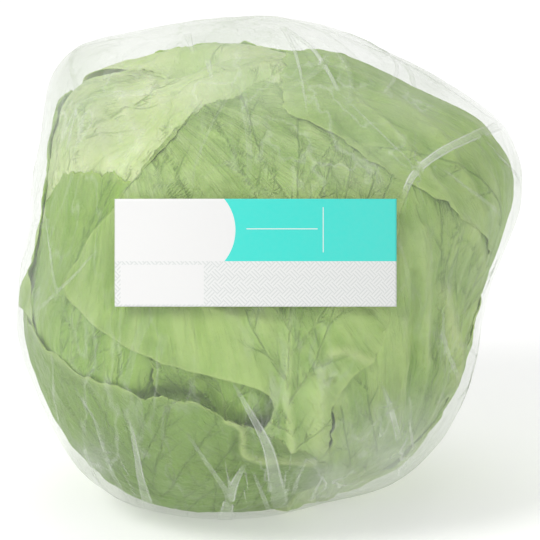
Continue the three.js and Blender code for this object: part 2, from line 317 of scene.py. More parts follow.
def sheet_faces(rows: int, columns: int, wrapped: bool = False) -> Array:
    """Faces of a closed thin sheet: an outer grid of points, an inner grid after it, and the rim.

    Rows run up and columns run to the right as seen from outside. A wrapped sheet joins its last
    column to its first.
    """
    outer = np.arange(rows * columns).reshape(rows, columns)
    if wrapped:
        outer = np.hstack([outer, outer[:, :1]])
    a, b, c, d = outer[:-1, :-1], outer[:-1, 1:], outer[1:, 1:], outer[1:, :-1]
    shift = rows * columns
    quads = [np.stack([a, b, c, d], -1), np.stack([d, c, b, a], -1) + shift]
    rims = [(outer[0, :-1], outer[0, 1:]), (outer[-1, 1:], outer[-1, :-1])]
    if not wrapped:
        rims += [(outer[1:, 0], outer[:-1, 0]), (outer[:-1, -1], outer[1:, -1])]
    quads += [np.stack([end, start, start + shift, end + shift], -1) for start, end in rims]
    return np.concatenate([q.reshape(-1, 4) for q in quads])


def grid_faces(rows: int, columns: int, wrapped: bool = False) -> Array:
    """Faces of one grid of points. A wrapped grid joins its last column to its first."""
    index = np.arange(rows * columns).reshape(rows, columns)
    if wrapped:
        index = np.hstack([index, index[:, :1]])
    return np.stack([index[:-1, :-1], index[:-1, 1:], index[1:, 1:], index[1:, :-1]], -1).reshape(-1, 4)


def close_rings(piece: bpy.types.Object) -> None:
    """Closes every open ring of a piece with a fan of faces, and turns its faces outwards."""
    mesh = bmesh.new()
    mesh.from_mesh(piece.data)
    caps = bmesh.ops.holes_fill(mesh, edges=[e for e in mesh.edges if e.is_boundary], sides=0)["faces"]
    bmesh.ops.recalc_face_normals(mesh, faces=caps)
    bmesh.ops.poke(mesh, faces=caps)
    mesh.to_mesh(piece.data)
    mesh.free()
    piece.data.shade_smooth()


def points_of(mesh: bpy.types.Mesh) -> Array:
    """The mesh's points, one row of three each."""
    found = np.empty(len(mesh.vertices) * 3, np.float32)
    mesh.vertices.foreach_get("co", found)
    return found.reshape(-1, 3).astype(float)


def fixed_in_place(piece: bpy.types.Object, node: str) -> bpy.types.Object:
    """Makes a finished piece stand for its CAD node and ride on the head."""
    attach(piece, "root")
    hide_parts(node)
    LOG.info("%s: %d faces", piece.name, len(piece.data.polygons))
    return piece


# ---- Node trees ------------------------------------------------------------------------


class Tree:
    """A short way to write a node tree: each call adds a node and returns one of its outputs."""

    def __init__(self, tree: bpy.types.NodeTree) -> None:
        """Wraps a tree that already exists."""
        self.tree = tree

    def node(self, kind: str, inputs: dict | None = None, **settings: object) -> bpy.types.Node:
        """Adds a node.

        Args:
            kind: the node's type name.
            inputs: sockets by name or number, each given a value or another node's output.
            settings: the node's own properties.

        Returns:
            The new node.
        """
        made = self.tree.nodes.new(kind)
        for key, value in settings.items():
            setattr(made, key, value)
        for key, value in (inputs or {}).items():
            self.feed(made.inputs[key], value)
        return made

    def feed(self, socket: bpy.types.NodeSocket, value: object) -> None:
        """Links an output to a socket, or sets the socket's own value."""
        if isinstance(value, bpy.types.NodeSocket):
            self.tree.links.new(value, socket)
        else:
            socket.default_value = value

    def math(self, operation: str, a: object, b: object = 0.0, clamp: bool = False) -> bpy.types.NodeSocket:
        """Adds a Math node."""
        made = self.node("ShaderNodeMath", {0: a, 1: b}, operation=operation, use_clamp=clamp)
        return made.outputs[0]

    def times(self, a: object, b: object) -> bpy.types.NodeSocket:
        """Multiplies two numbers."""
        return self.math("MULTIPLY", a, b)

    def plus(self, a: object, b: object, clamp: bool = False) -> bpy.types.NodeSocket:
        """Adds two numbers."""
        return self.math("ADD", a, b, clamp)

    def minus(self, a: object, b: object, clamp: bool = False) -> bpy.types.NodeSocket:
        """Takes one number from another."""
        return self.math("SUBTRACT", a, b, clamp)

    def ramp(
        self, value: object, low: float, high: float, to_low: float = 0.0, to_high: float = 1.0
    ) -> bpy.types.NodeSocket:
        """Maps a range of values smoothly to another."""
        inputs = {"Value": value, "From Min": low, "From Max": high, "To Min": to_low, "To Max": to_high}
        return self.node("ShaderNodeMapRange", inputs, interpolation_type="SMOOTHSTEP").outputs[0]

    def mix(self, share: object, a: object, b: object) -> bpy.types.NodeSocket:
        """Mixes two colours."""
        made = self.node("ShaderNodeMix", data_type="RGBA", clamp_factor=True)
        colours = [s for s in made.inputs if s.type == "RGBA"]
        self.feed(made.inputs[0], share)
        self.feed(colours[0], a)
        self.feed(colours[1], b)
        return next(s for s in made.outputs if s.type == "RGBA")

    def noise(self, vector: object, scale: float) -> bpy.types.NodeSocket:
        """Adds a Noise Texture and returns its value."""
        inputs = {"Vector": vector, "Scale": scale, "Detail": 3.0}
        return self.node("ShaderNodeTexNoise", inputs).outputs[0]

    def attribute(self, name: str) -> bpy.types.NodeSocket:
        """Reads a number that the mesh carries for each point."""
        return self.node("ShaderNodeAttribute", attribute_name=name).outputs["Fac"]

    def group(self, name: str, inputs: dict) -> bpy.types.Node:
        """Places a shared node group with its own values."""
        made = self.tree.nodes.new("ShaderNodeGroup")
        made.node_tree = bpy.data.node_groups[name]
        for key, value in inputs.items():
            self.feed(made.inputs[key], value)
        return made


def new_group(
    name: str, kind: str, inputs: dict[str, object], outputs: dict[str, str]
) -> tuple[Tree, dict, bpy.types.Node]:
    """Starts a node group.

    Args:
        name: the group's name.
        kind: ShaderNodeTree or GeometryNodeTree.
        inputs: each input's first value by name, or its socket type.
        outputs: each output's socket type by name.

    Returns:
        The tree, its input sockets by name, and its output node.
    """
    tree = bpy.data.node_groups.new(name, kind)
    for key, value in inputs.items():
        if isinstance(value, str):
            tree.interface.new_socket(key, in_out="INPUT", socket_type=value)
        else:
            made = tree.interface.new_socket(key, in_out="INPUT", socket_type="NodeSocketFloat")
            made.default_value = value
    for key, value in outputs.items():
        tree.interface.new_socket(key, in_out="OUTPUT", socket_type=value)
    made = Tree(tree)
    source = made.node("NodeGroupInput")
    return made, {s.name: s for s in source.outputs if s.name}, made.node("NodeGroupOutput")


def new_material(name: str) -> tuple[bpy.types.Material, Tree, bpy.types.Node]:
    """Starts a material with one Principled shader.

    Returns:
        The material, its tree and the shader.
    """
    material = bpy.data.materials.new(name)
    material.use_nodes = True
    shader = material.node_tree.nodes["Principled BSDF"]
    return material, Tree(material.node_tree), shader


def run_geometry(
    piece: bpy.types.Object, group: bpy.types.NodeTree, values: dict[str, object]
) -> bpy.types.Object:
    """Runs a Geometry Nodes tree on a piece and keeps the result as its plain mesh.

    Args:
        piece: the object that the tree starts from.
        group: the tree.
        values: its inputs by name.

    Returns:
        The same piece, with no modifier left on it.
    """
    modifier = piece.modifiers.new(group.name, "NODES")
    modifier.node_group = group
    for item in group.interface.items_tree:
        if item.item_type == "SOCKET" and item.in_out == "INPUT" and item.name in values:
            modifier[item.identifier] = values[item.name]
    evaluated = piece.evaluated_get(bpy.context.evaluated_depsgraph_get())
    made = bpy.data.meshes.new_from_object(evaluated)
    piece.modifiers.remove(modifier)
    old, piece.data = piece.data, made
    bpy.data.meshes.remove(old)
    made.name = piece.name
    kept = [material for material in made.materials if material is not None]
    made.materials.clear()
    if kept:
        made.materials.append(kept[0])
    made.polygons.foreach_set("material_index", np.zeros(len(made.polygons), np.int32))
    made.shade_smooth()
    return piece


# ---- Shared effects --------------------------------------------------------------------


class Effects:
    """Node groups that more than one finish uses."""

    MOTTLE = "Mottle"
    NET = "Fine net"
    LINE = "Soft line"
    PANEL = "Printed panel"
    STREAKS = "Leaf streaks"

    @classmethod
    def build(cls) -> None:
        """Builds every group once."""
        cls._streaks()
        cls._mottle()
        cls._net()
        cls._line()
        cls._panel()

    @classmethod
    def _streaks(cls) -> None:
        """Fine streaks that fan out along a leaf, from 0 to 1."""
        inputs = {"Vector": "NodeSocketVector", "Scale": 0.8}
        tree, source, out = new_group(cls.STREAKS, "ShaderNodeTree", inputs, {"Mask": "NodeSocketFloat"})
        longer = tree.node(
            "ShaderNodeVectorMath", {0: source["Vector"], 1: (1.0, 0.4, 1.0)}, operation="MULTIPLY"
        )
        noise = tree.node(
            "ShaderNodeTexNoise", {"Vector": longer.outputs[0], "Scale": source["Scale"], "Detail": 4.0}
        )
        tree.feed(out.inputs["Mask"], tree.ramp(noise.outputs[0], 0.4, 0.62))

    @classmethod
    def _mottle(cls) -> None:
        """Cloudy patches at two sizes, from 0 to 1."""
        inputs = {"Vector": "NodeSocketVector", "Size": 40.0, "Fine": 260.0}
        tree, source, out = new_group(cls.MOTTLE, "ShaderNodeTree", inputs, {"Mask": "NodeSocketFloat"})
        broad = tree.node(
            "ShaderNodeTexNoise", {"Vector": source["Vector"], "Scale": source["Size"], "Detail": 3.0}
        )
        fine = tree.node(
            "ShaderNodeTexNoise", {"Vector": source["Vector"], "Scale": source["Fine"], "Detail": 2.0}
        )
        both = tree.plus(tree.times(broad.outputs[0], 0.7), tree.times(fine.outputs[0], 0.3)
        )
        tree.feed(out.inputs["Mask"], tree.ramp(both, 0.36, 0.64))

    @classmethod
    def _net(cls) -> None:
        """A net of hairline veins: 1 on the lines and 0 inside the cells."""
        inputs = {"Vector": "NodeSocketVector", "Scale": 300.0, "Width": 0.08}
        tree, source, out = new_group(cls.NET, "ShaderNodeTree", inputs, {"Mask": "NodeSocketFloat"})
        bend = tree.node("ShaderNodeTexNoise", {"Vector": source["Vector"], "Scale": 90.0, "Detail": 1.0})
        shift = tree.node(
            "ShaderNodeVectorMath", {0: bend.outputs[1], 1: (0.006, 0.006, 0.006)}, operation="MULTIPLY"
        )
        bent = tree.node(
            "ShaderNodeVectorMath", {0: source["Vector"], 1: shift.outputs[0]}, operation="ADD"
        )
        cells = tree.node(
            "ShaderNodeTexVoronoi",
            {"Vector": bent.outputs[0], "Scale": source["Scale"]},
            feature="DISTANCE_TO_EDGE",
        )
        share = tree.math("DIVIDE", cells.outputs["Distance"], source["Width"])
        tree.feed(out.inputs["Mask"], tree.minus(1.0, share, clamp=True))

    @classmethod
    def _line(cls) -> None:
        """A flattened fold: part full between its two edges, and fullest along them, which paints a highlight
        on the fold's edges.
        """
        inputs = {"Distance": 1.0, "Width": 1.0}
        tree, source, out = new_group(cls.LINE, "ShaderNodeTree", inputs, {"Mask": "NodeSocketFloat"})
        share = tree.math("DIVIDE", tree.math("ABSOLUTE", source["Distance"]), source["Width"])
        inside = tree.ramp(share, 0.8, 1.15, 0.5, 0.0)
        off_edge = tree.math("DIVIDE", tree.minus(share, 0.85), 0.16)
        bell = tree.math("EXPONENT", tree.times(tree.times(off_edge, off_edge), -1.0))
        tree.feed(
            out.inputs["Mask"], tree.plus(inside, tree.times(bell, 0.5), clamp=True)
        )

    @classmethod
    def _panel(cls) -> None:
        """A rectangle of ink: 1 inside and 0 outside."""
        inputs = {"Across": 0.0, "Up": 0.0, "Left": 0.0, "Right": 1.0, "Bottom": 0.0, "Top": 1.0}
        tree, source, out = new_group(cls.PANEL, "ShaderNodeTree", inputs, {"Mask": "NodeSocketFloat"})
        tests = [
            tree.math("GREATER_THAN", source["Across"], source["Left"]),
            tree.math("LESS_THAN", source["Across"], source["Right"]),
            tree.math("GREATER_THAN", source["Up"], source["Bottom"]),
            tree.math("LESS_THAN", source["Up"], source["Top"]),
        ]
        inside = tests[0]
        for test in tests[1:]:
            inside = tree.times(inside, test)
        tree.feed(out.inputs["Mask"], inside)


# ---- Finishes --------------------------------------------------------------------------


Colour = tuple[float, float, float, float]


@dataclass(frozen=True)
class LeafFinish:
    """Leaf blade: green flesh with paler ribs, hairline veins and a waxy skin, with painted shade on whole
    leaves that face away from the light and a painted highlight along the margin.
    """

    name: str
    blade: Colour
    deep: Colour
    light: Colour
    # painted highlight: a lighter green laid along the margin as if it caught the light
    rib: Colour
    edge: Colour
    roughness: float = 0.46
    softness: float = 0.22

    def material(self) -> bpy.types.Material:
        """Builds the blade's material."""
        material, tree, shader = new_material(self.name)
        spot = tree.node("ShaderNodeTexCoord").outputs["Object"]
        cloud = tree.group(Effects.MOTTLE, {"Vector": spot, "Size": 34.0, "Fine": 240.0}).outputs[0]
        colour = tree.mix(tree.times(cloud, 0.75), self.blade, self.deep)
        foot = tree.attribute("foot")
        colour = tree.mix(tree.times(foot, 0.85), colour, self.rib)
        net = tree.group(Effects.NET, {"Vector": spot, "Scale": 420.0, "Width": 0.07}).outputs[0]
        colour = tree.mix(tree.times(net, 0.06), colour, self.deep)
        fan = tree.node("ShaderNodeAttribute", attribute_name="fan").outputs["Vector"]
        streaks = tree.group(Effects.STREAKS, {"Vector": fan, "Scale": 0.8}).outputs[0]
        colour = tree.mix(tree.times(streaks, 0.34), colour, self.deep)
        wide = tree.group(Effects.STREAKS, {"Vector": fan, "Scale": 0.23}).outputs[0]
        colour = tree.mix(tree.times(wide, 0.5), colour, self.light)
        # Painted shade: the whole blade is darkened towards a dimmed deep green where the leaf faces away
        # from the light.
        colour = tree.mix(tree.attribute("shade"), colour, self._darker(0.78))
        share = tree.math("DIVIDE", tree.attribute("vein_side"), 0.34)
        line = tree.math("EXPONENT", tree.times(tree.times(share, share), -1.0))
        line = tree.times(line, tree.attribute("vein"))
        colour = tree.mix(tree.times(line, 0.7), colour, self._darker(0.55))
        colour = tree.mix(tree.times(tree.attribute("pale"), 0.7), colour, self.rib)
        # Painted highlight along the margin, mixed halfway towards the lighter edge colour.
        rim = tree.attribute("rim")
        colour = tree.mix(tree.times(rim, 0.5), colour, self.edge)
        tree.feed(shader.inputs["Base Color"], colour)
        gloss = tree.plus(self.roughness - 0.06, tree.times(cloud, 0.12))
        tree.feed(shader.inputs["Roughness"], gloss)
        shader.inputs["Specular IOR Level"].default_value = 0.42
        shader.inputs["Subsurface Weight"].default_value = self.softness
        shader.inputs["Subsurface Radius"].default_value = (0.6, 1.0, 0.2)
        shader.inputs["Subsurface Scale"].default_value = 0.004
        grain = tree.noise(spot, 900.0)
        height = tree.plus(tree.times(grain, 0.2), tree.times(net, -0.07))
        height = tree.minus(height, tree.times(streaks, 0.4))
        height = tree.minus(height, tree.times(line, 0.5))
        bump = tree.node("ShaderNodeBump", {"Height": height, "Strength": 0.9, "Distance": 0.001})
        tree.feed(shader.inputs["Normal"], bump.outputs[0])
        return material

    def _darker(self, share: float) -> Colour:
        """The deep green at a share of its brightness."""
        red, green, blue, alpha = self.deep
        return (red * share, green * share, blue * share, alpha)


@dataclass(frozen=True)
class FilmFinish:
    """Clear wrap that turns milky where it is creased: partly the doubled film's own clouding, partly a
    painted highlight.
    """

    name: str = "clear_film"
    clear_colour: Colour = (0.56, 0.63, 0.50, 1.0)
    milky_colour: Colour = (0.88, 0.91, 0.86, 1.0)
    clear: float = 0.062
    milky: float = 0.6
    wrinkled: float = 0.08

    def material(self) -> bpy.types.Material:
        """Builds the film's material."""
        material, tree, shader = new_material(self.name)
        spot = tree.node("ShaderNodeTexCoord").outputs["Object"]
        line = tree.group(
            Effects.LINE, {"Distance": tree.attribute("fold"), "Width": tree.attribute("fold_width")}
        )
        fold = tree.times(line.outputs[0], tree.attribute("fold_strength"))
        stretch = tree.node(
            "ShaderNodeMapping", {"Vector": spot, "Rotation": (0.4, 0.3, 0.2), "Scale": (1.0, 1.0, 0.28)}
        )
        ridges = tree.noise(stretch.outputs[0], 62.0)
        off_ridge = tree.math("ABSOLUTE", tree.minus(ridges, 0.5))
        ridge = tree.minus(1.0, tree.times(off_ridge, 40.0), clamp=True)
        haze = tree.group(Effects.MOTTLE, {"Vector": spot, "Size": 22.0, "Fine": 70.0}).outputs[0]
        milk = tree.attribute("milk")
        # wrinkle lines: partly real fine creases, partly painted glints
        wrinkle_and_glint = tree.times(tree.times(ridge, tree.plus(haze, milk)), self.wrinkled
        )
        alpha = tree.plus(self.clear, tree.times(fold, self.milky))
        alpha = tree.plus(alpha, tree.times(haze, 0.02))
        # crumpled patches: real clouding and painted sheen, in opacity here and in whiteness below
        alpha = tree.plus(alpha, tree.times(milk, tree.plus(0.6, haze)))
        alpha = tree.plus(alpha, wrinkle_and_glint, clamp=True)
        tree.feed(shader.inputs["Alpha"], alpha)
        # Creases and wrinkles are whitened as well as made more opaque: the doubled film is truly cloudier
        # there, and the bright lines along them are a painted highlight.
        white = tree.plus(fold, tree.times(wrinkle_and_glint, 5.0))
        white = tree.plus(white, tree.times(milk, 0.8), clamp=True)
        tree.feed(shader.inputs["Base Color"], tree.mix(white, self.clear_colour, self.milky_colour))
        shader.inputs["Roughness"].default_value = 0.24
        shader.inputs["Specular IOR Level"].default_value = 0.5
        height = tree.plus(ridges, tree.times(fold, 0.5))
        bump = tree.node("ShaderNodeBump", {"Height": height, "Strength": 0.5, "Distance": 0.002})
        tree.feed(shader.inputs["Normal"], bump.outputs[0])
        return material


@dataclass(frozen=True)
class PaperFinish:
    """Coated label paper with flat panels of ink and no lettering."""

    name: str = "label_paper"
    white: Colour = (0.77, 0.77, 0.76, 1.0)
    ink: Colour = (0.042, 0.69, 0.60, 1.0)
    strip: Colour = (0.76, 0.77, 0.755, 1.0)
    weave: Colour = (0.63, 0.65, 0.635, 1.0)

    def material(self, label: "Label") -> bpy.types.Material:
        """Builds the print from the label's own layout, in mm from its lower left corner."""
        material, tree, shader = new_material(self.name)
        spot = tree.node("ShaderNodeUVMap", uv_map="print").outputs[0]
        place = tree.node("ShaderNodeSeparateXYZ", {0: spot})
        across = tree.times(place.outputs[0], label.width / MM)
        up = tree.times(place.outputs[1], label.height / MM)
        face = tree.attribute("printed")
        bulge_x = tree.minus(across, label.bulge_centre[0])
        bulge_y = tree.minus(up, label.bulge_centre[1])
        square = tree.plus(tree.times(bulge_x, bulge_x), tree.times(bulge_y, bulge_y)
        )
        beyond = tree.math("GREATER_THAN", square, label.bulge_radius**2)
        upper = self._panel(tree, across, up, (label.bulge_centre[0], 999.0, label.strip_height, 999.0))
        colour = tree.mix(tree.times(beyond, upper), self.white, self.ink)
        strip = self._panel(tree, across, up, (-9.0, 999.0, -9.0, label.strip_height))
        colour = tree.mix(strip, colour, self.strip)
        colour = tree.mix(tree.times(strip, self._weave(tree, across, up)), colour, self.weave)
        for box in (*label.rules, label.blank_box):
            colour = tree.mix(self._panel(tree, across, up, box), colour, self.white)
        colour = tree.mix(face, self.white, colour)
        fibre = tree.noise(tree.node("ShaderNodeTexCoord").outputs["Object"], 700.0)
        colour = tree.mix(tree.times(fibre, 0.06), colour, (0.6, 0.6, 0.6, 1.0))
        tree.feed(shader.inputs["Base Color"], colour)
        shader.inputs["Roughness"].default_value = 0.42
        bump = tree.node("ShaderNodeBump", {"Height": fibre, "Strength": 0.12, "Distance": 0.0003})
        tree.feed(shader.inputs["Normal"], bump.outputs[0])
        return material

    @staticmethod
    def _weave(tree: Tree, across: object, up: object) -> bpy.types.NodeSocket:
        """A slanting basket weave of fine lines, 1 on the lines."""
        cell, pitch, slant = 3.2, 1.07, math.sqrt(0.5)
        along = tree.times(tree.plus(across, up), slant)
        over = tree.times(tree.minus(across, up), slant)
        columns, rows = (tree.math("FLOOR", tree.math("DIVIDE", way, cell)) for way in (along, over))
        odd = tree.math("FLOORED_MODULO", tree.plus(columns, rows), 2.0)
        lines = [
            tree.math(
                "GREATER_THAN", tree.math("SINE", tree.times(way, 2 * math.pi / pitch)), 0.35
            )
            for way in (along, over)
        ]
        first = tree.times(odd, lines[0])
        return tree.plus(first, tree.times(tree.minus(1.0, odd), lines[1]))

    @staticmethod
    def _panel(
        tree: Tree, across: object, up: object, box: tuple[float, float, float, float]
    ) -> bpy.types.NodeSocket:
        """A printed rectangle: left, right, bottom and top, in mm."""
        left, right, bottom, top = box
        inputs = {"Across": across, "Up": up, "Left": left, "Right": right, "Bottom": bottom, "Top": top}
        return tree.group(Effects.PANEL, inputs).outputs[0]


@dataclass(frozen=True)
class StemFinish:
    """Cut stem: moist cream flesh that browns towards its rim."""

    name: str = "stem_flesh"
    flesh: Colour = (0.72, 0.70, 0.46, 1.0)
    browned: Colour = (0.40, 0.20, 0.09, 1.0)

    def material(self) -> bpy.types.Material:
        """Builds the stem's material."""
        material, tree, shader = new_material(self.name)
        spot = tree.node("ShaderNodeTexCoord").outputs["Object"]
        cloud = tree.group(Effects.MOTTLE, {"Vector": spot, "Size": 120.0, "Fine": 600.0}).outputs[0]
        brown = tree.times(tree.attribute("browning"), tree.plus(0.4, tree.times(cloud, 0.6))
        )
        tree.feed(shader.inputs["Base Color"], tree.mix(brown, self.flesh, self.browned))
        tree.feed(shader.inputs["Roughness"], tree.plus(0.35, tree.times(cloud, 0.2)))
        bump = tree.node("ShaderNodeBump", {"Height": cloud, "Strength": 0.4, "Distance": 0.0005})
        tree.feed(shader.inputs["Normal"], bump.outputs[0])
        return material


# ---- Leaves ----------------------------------------------------------------------------


class Detail(Enum):
    """How finely a leaf is made: rows along it and columns across it."""

    SHOWN = (176, 160)
    TURNED_AWAY = (140, 128)
    HIDDEN = (70, 64)


class Tone(Enum):
    """Each kind of blade, with the name of its material."""

    OUTER = "outer_leaf"
    UNDER = "under_leaf"
    PALE = "pale_leaf"
    HEART = "heart_leaf"


@dataclass(frozen=True)
class Hollow:
    """A place where a leaf and those beneath it fall away from the wrap, in mm on the labelled side."""

    right: float
    up: float
    reach: float
    depth: float
    first: str


@dataclass(frozen=True)
class Ridge:
    """A fold, rib or groove on one leaf, along places in mm on the labelled side."""

    leaf: str
    path: tuple[tuple[float, float], ...]
    width: float
    height: float
    pale: float = 0.0


@dataclass(frozen=True)
class Leaf:
    """One leaf's place: its midrib's compass heading and its stations along the midrib.

    Each row is (arc from the stem's axis, width to the left, width to the right), in degrees.
    """

    name: str
    heading: float
    corners: tuple[float, float]
    rows: tuple[tuple[float, float, float], ...]
    tone: Tone = Tone.OUTER
    detail: Detail = Detail.TURNED_AWAY
    ruffle: float = 1.0
    sink: float = 0.4
    # painted shade: how far the whole blade is darkened because it faces away from the light
    shade: float = 0.0
    curl: float = 0.0
    ribs: float = 1.0
    fan_from: tuple[float, float] = (0.0, 0.0)
    seed: int = 1

    def stations(self, v: Array) -> Array:
        """Arc and widths at v from 0 at the foot to 1 at the tip."""
        return catmull_rom(np.array(self.rows, float), np.minimum(v, 0.9999) * (len(self.rows) - 1))

    def even_rows(self, count: int) -> Array:
        """Values of v that lie evenly along the leaf."""
        v = np.linspace(0, 1, 400)
        arc = self.stations(v)[:, 0]
        return np.interp(np.linspace(arc[0], arc[-1], count), arc, v)

    def angles(self, u: Array, v: Array) -> tuple[Array, Array]:
        """Degrees along and across the leaf at u from -1 to 1 and v from 0 to 1."""
        arc, left, right = self.stations(v.ravel()).T.reshape(3, *v.shape)
        corner = np.where(u < 0, self.corners[0], self.corners[1])
        along = arc - corner * np.abs(u) ** 2.2 * v**2
        return along, u * np.where(u < 0, left, right)

    def directions(self, along: Array, across: Array) -> Array:
        """Unit vectors from the head's centre."""
        s, t, h = np.radians(along), np.radians(across), math.radians(self.heading)
        outward = np.array([math.sin(h), -math.cos(h), 0.0])
        sideways = np.array([math.cos(h), math.sin(h), 0.0])
        down = np.array([0.0, 0.0, -1.0])
        return (
            (np.sin(s) * np.cos(t))[..., None] * outward
            + (np.cos(s) * np.cos(t))[..., None] * down
            + np.sin(t)[..., None] * sideways
        )


SHEET_RADIUS_MM = 84.0
MM_PER_DEGREE = SHEET_RADIUS_MM * math.pi / 180


class VeinNet:
    """A leaf's midrib, its fanning veins and their branches, grown over the blade.

    Places are in mm: x across the leaf and y along it.
    """

    STEP = 1.3

    def __init__(self, leaf: Leaf) -> None:
        """Grows the whole net from the leaf's own seed."""
        self.leaf = leaf
        self.random = np.random.default_rng(leaf.seed)
        v = np.linspace(0, 1, 200)
        self.outline = leaf.stations(v) * MM_PER_DEGREE
        self.points: list[tuple[float, float]] = []
        self.widths: list[float] = []
        self.heights: list[float] = []
        self.headings: list[float] = []
        self._grow()

    def _inside(self, x: float, y: float) -> bool:
        """True on the blade, a little short of its margin."""
        arc, left, right = self.outline.T
        if not arc[0] - 1 < y < arc[-1] - 2:
            return False
        limit = np.interp(y, arc, left if x < 0 else right)
        return abs(x) < 0.97 * limit

    def _path(
        self, x: float, y: float, heading: float, bend: float, length: float, width: float, height: float
    ) -> list:
        """Lays one vein and returns its places and headings.

        Args:
            x, y: where it starts.
            heading: radians from the leaf's own direction, positive to the right.
            bend: how fast it turns, in radians for each mm.
            length: how far it runs if the margin doesn't stop it.
            width: its half width at the start, in mm.
            height: how far it stands proud at the start, from 0 to 1.
        """
        steps = max(2, int(length / self.STEP))
        laid = []
        for i in range(steps):
            if not self._inside(x, y):
                break
            left = 1 - i / steps
            self.points.append((x, y))
            self.widths.append(width * (0.35 + 0.65 * left))
            self.heights.append(height * (0.15 + 0.85 * left))
            self.headings.append(heading)
            laid.append((x, y, heading, left))
            heading += bend * self.STEP * left + self.random.normal(0, 0.035)
            x += math.sin(heading) * self.STEP
            y += math.cos(heading) * self.STEP
        return laid

    def _branch(
        self, parent: list, gap: float, angle: float, length: float, width: float, height: float
    ) -> list[list]:
        """Grows side veins off a vein, left and right in turn."""
        grown = []
        side = self.random.choice((-1, 1))
        i = self.random.uniform(0.4, 1.0) * gap / self.STEP
        while i < len(parent) - 2:
            x, y, heading, left = parent[int(i)]
            start = heading + side * angle * self.random.uniform(0.8, 1.2)
            run = length * (0.45 + 0.55 * left) * self.random.uniform(0.7, 1.2)
            grown.append(self._path(x, y, start, -side * 0.012, run, width, height))
            side = -side
            i += gap / self.STEP * self.random.uniform(0.75, 1.25)
        return grown

    def _grow(self) -> None:
        """Midrib first, then its fan, then two orders of branches."""
        arc = self.outline[:, 0]
        length = arc[-1] - arc[0]
        midrib = self._path(0.0, arc[0], 0.0, 0.0, length * 0.93, 3.2, 1.0)
        fan = []
        y = 0.03 * length
        side = 1
        while y < 0.8 * length and int(y / self.STEP) < len(midrib):
            x0, y0, heading, left = midrib[int(y / self.STEP)]
            lean = math.radians(24 + 30 * left)
            run = length * self.random.uniform(0.55, 0.85)
            fan.append(self._path(x0, y0, heading + side * lean, -side * 0.006, run, 1.5, 0.42))
            side = -side
            y += length * 0.045 * self.random.uniform(0.8, 1.3)
        seconds = [v for vein in fan for v in self._branch(vein, 8.5, 0.62, 26, 0.9, 0.2)]
        seconds += self._branch(midrib, 9.0, 0.7, 22, 0.9, 0.2)
        for vein in seconds:
            self._branch(vein, 5.0, 0.8, 9, 0.6, 0.09)

    def read(self, x: Array, y: Array) -> tuple[Array, Array, Array, Array]:
        """Reads the net at places on the blade.

        Returns:
            How far the veins stand proud, from 0 to 1, the distance to the nearest vein in mm, the signed
            distance to its middle line in mm, and how dark that line is, from 0 to 1.
        """
        tree = kd_tree([(px, py, 0) for px, py in self.points])
        widths, heights = np.array(self.widths), np.array(self.heights)
        proud = np.zeros(x.size)
        nearest = np.zeros(x.size)
        beside = np.zeros(x.size)
        dark = np.zeros(x.size)
        for k, (px, py) in enumerate(zip(x.ravel(), y.ravel())):
            found = tree.find_n((px, py, 0), 4)
            nearest[k] = found[0][2]
            first = found[0][1]
            turn = self.headings[first]
            beside[k] = (
                px - self.points[first][0]
            ) * math.cos(turn) - (py - self.points[first][1]) * math.sin(turn)
            dark[k] = heights[first]
            proud[k] = max(heights[i] * math.exp(-((d / widths[i]) ** 2)) for _, i, d in found)
        dark = smoothstep(0.02, 0.22, dark) * (dark < 0.6) * smoothstep(2.4, 1.0, nearest)
        return proud.reshape(
            x.shape
        ), nearest.reshape(x.shape), beside.reshape(x.shape), dark.reshape(x.shape)


class LeafRelief:
    """The Geometry Nodes tree that raises a blade's ribs and blisters."""

    NAME = "Leaf relief"

    @classmethod
    def build(cls) -> bpy.types.NodeTree:
        """Builds the tree: each point moves outwards by what the mesh says of ribs and blisters."""
        inputs = {
            "Geometry": "NodeSocketGeometry",
            "Rib Height": 0.0021,
            "Blister Height": 0.0015,
            "Grain Height": 0.0002,
            "Grain Scale": 170.0,
            "Seed": 0.0,
            "Finish": "NodeSocketMaterial",
        }
        tree, source, out = new_group(
            cls.NAME, "GeometryNodeTree", inputs, {"Geometry": "NodeSocketGeometry"}
        )
        read = {
            name: tree.node(
                "GeometryNodeInputNamedAttribute", {"Name": name}, data_type=kind
            ).outputs["Attribute"]
            for name, kind in (("rib", "FLOAT"), ("blister", "FLOAT"), ("outward", "FLOAT_VECTOR"))
        }
        place = tree.node("GeometryNodeInputPosition").outputs[0]
        noise = tree.node(
            "ShaderNodeTexNoise",
            {"Vector": place, "Scale": source["Grain Scale"], "W": source["Seed"], "Detail": 2.0},
            noise_dimensions="4D",
        )
        grain = tree.times(tree.minus(noise.outputs[0], 0.5), source["Grain Height"])
        rise = tree.plus(tree.times(read["rib"], source["Rib Height"]), grain)
        rise = tree.plus(rise, tree.times(read["blister"], source["Blister Height"]))
        move = tree.node("ShaderNodeVectorMath", {0: read["outward"], "Scale": rise}, operation="SCALE")
        moved = tree.node(
            "GeometryNodeSetPosition", {"Geometry": source["Geometry"], "Offset": move.outputs[0]}
        )
        whole = tree.node("GeometryNodeRealizeInstances", {"Geometry": moved.outputs[0]})
        dressed = tree.node(
            "GeometryNodeSetMaterial", {"Geometry": whole.outputs[0], "Material": source["Finish"]}
        )
        tree.feed(out.inputs["Geometry"], dressed.outputs[0])
        return tree.tree


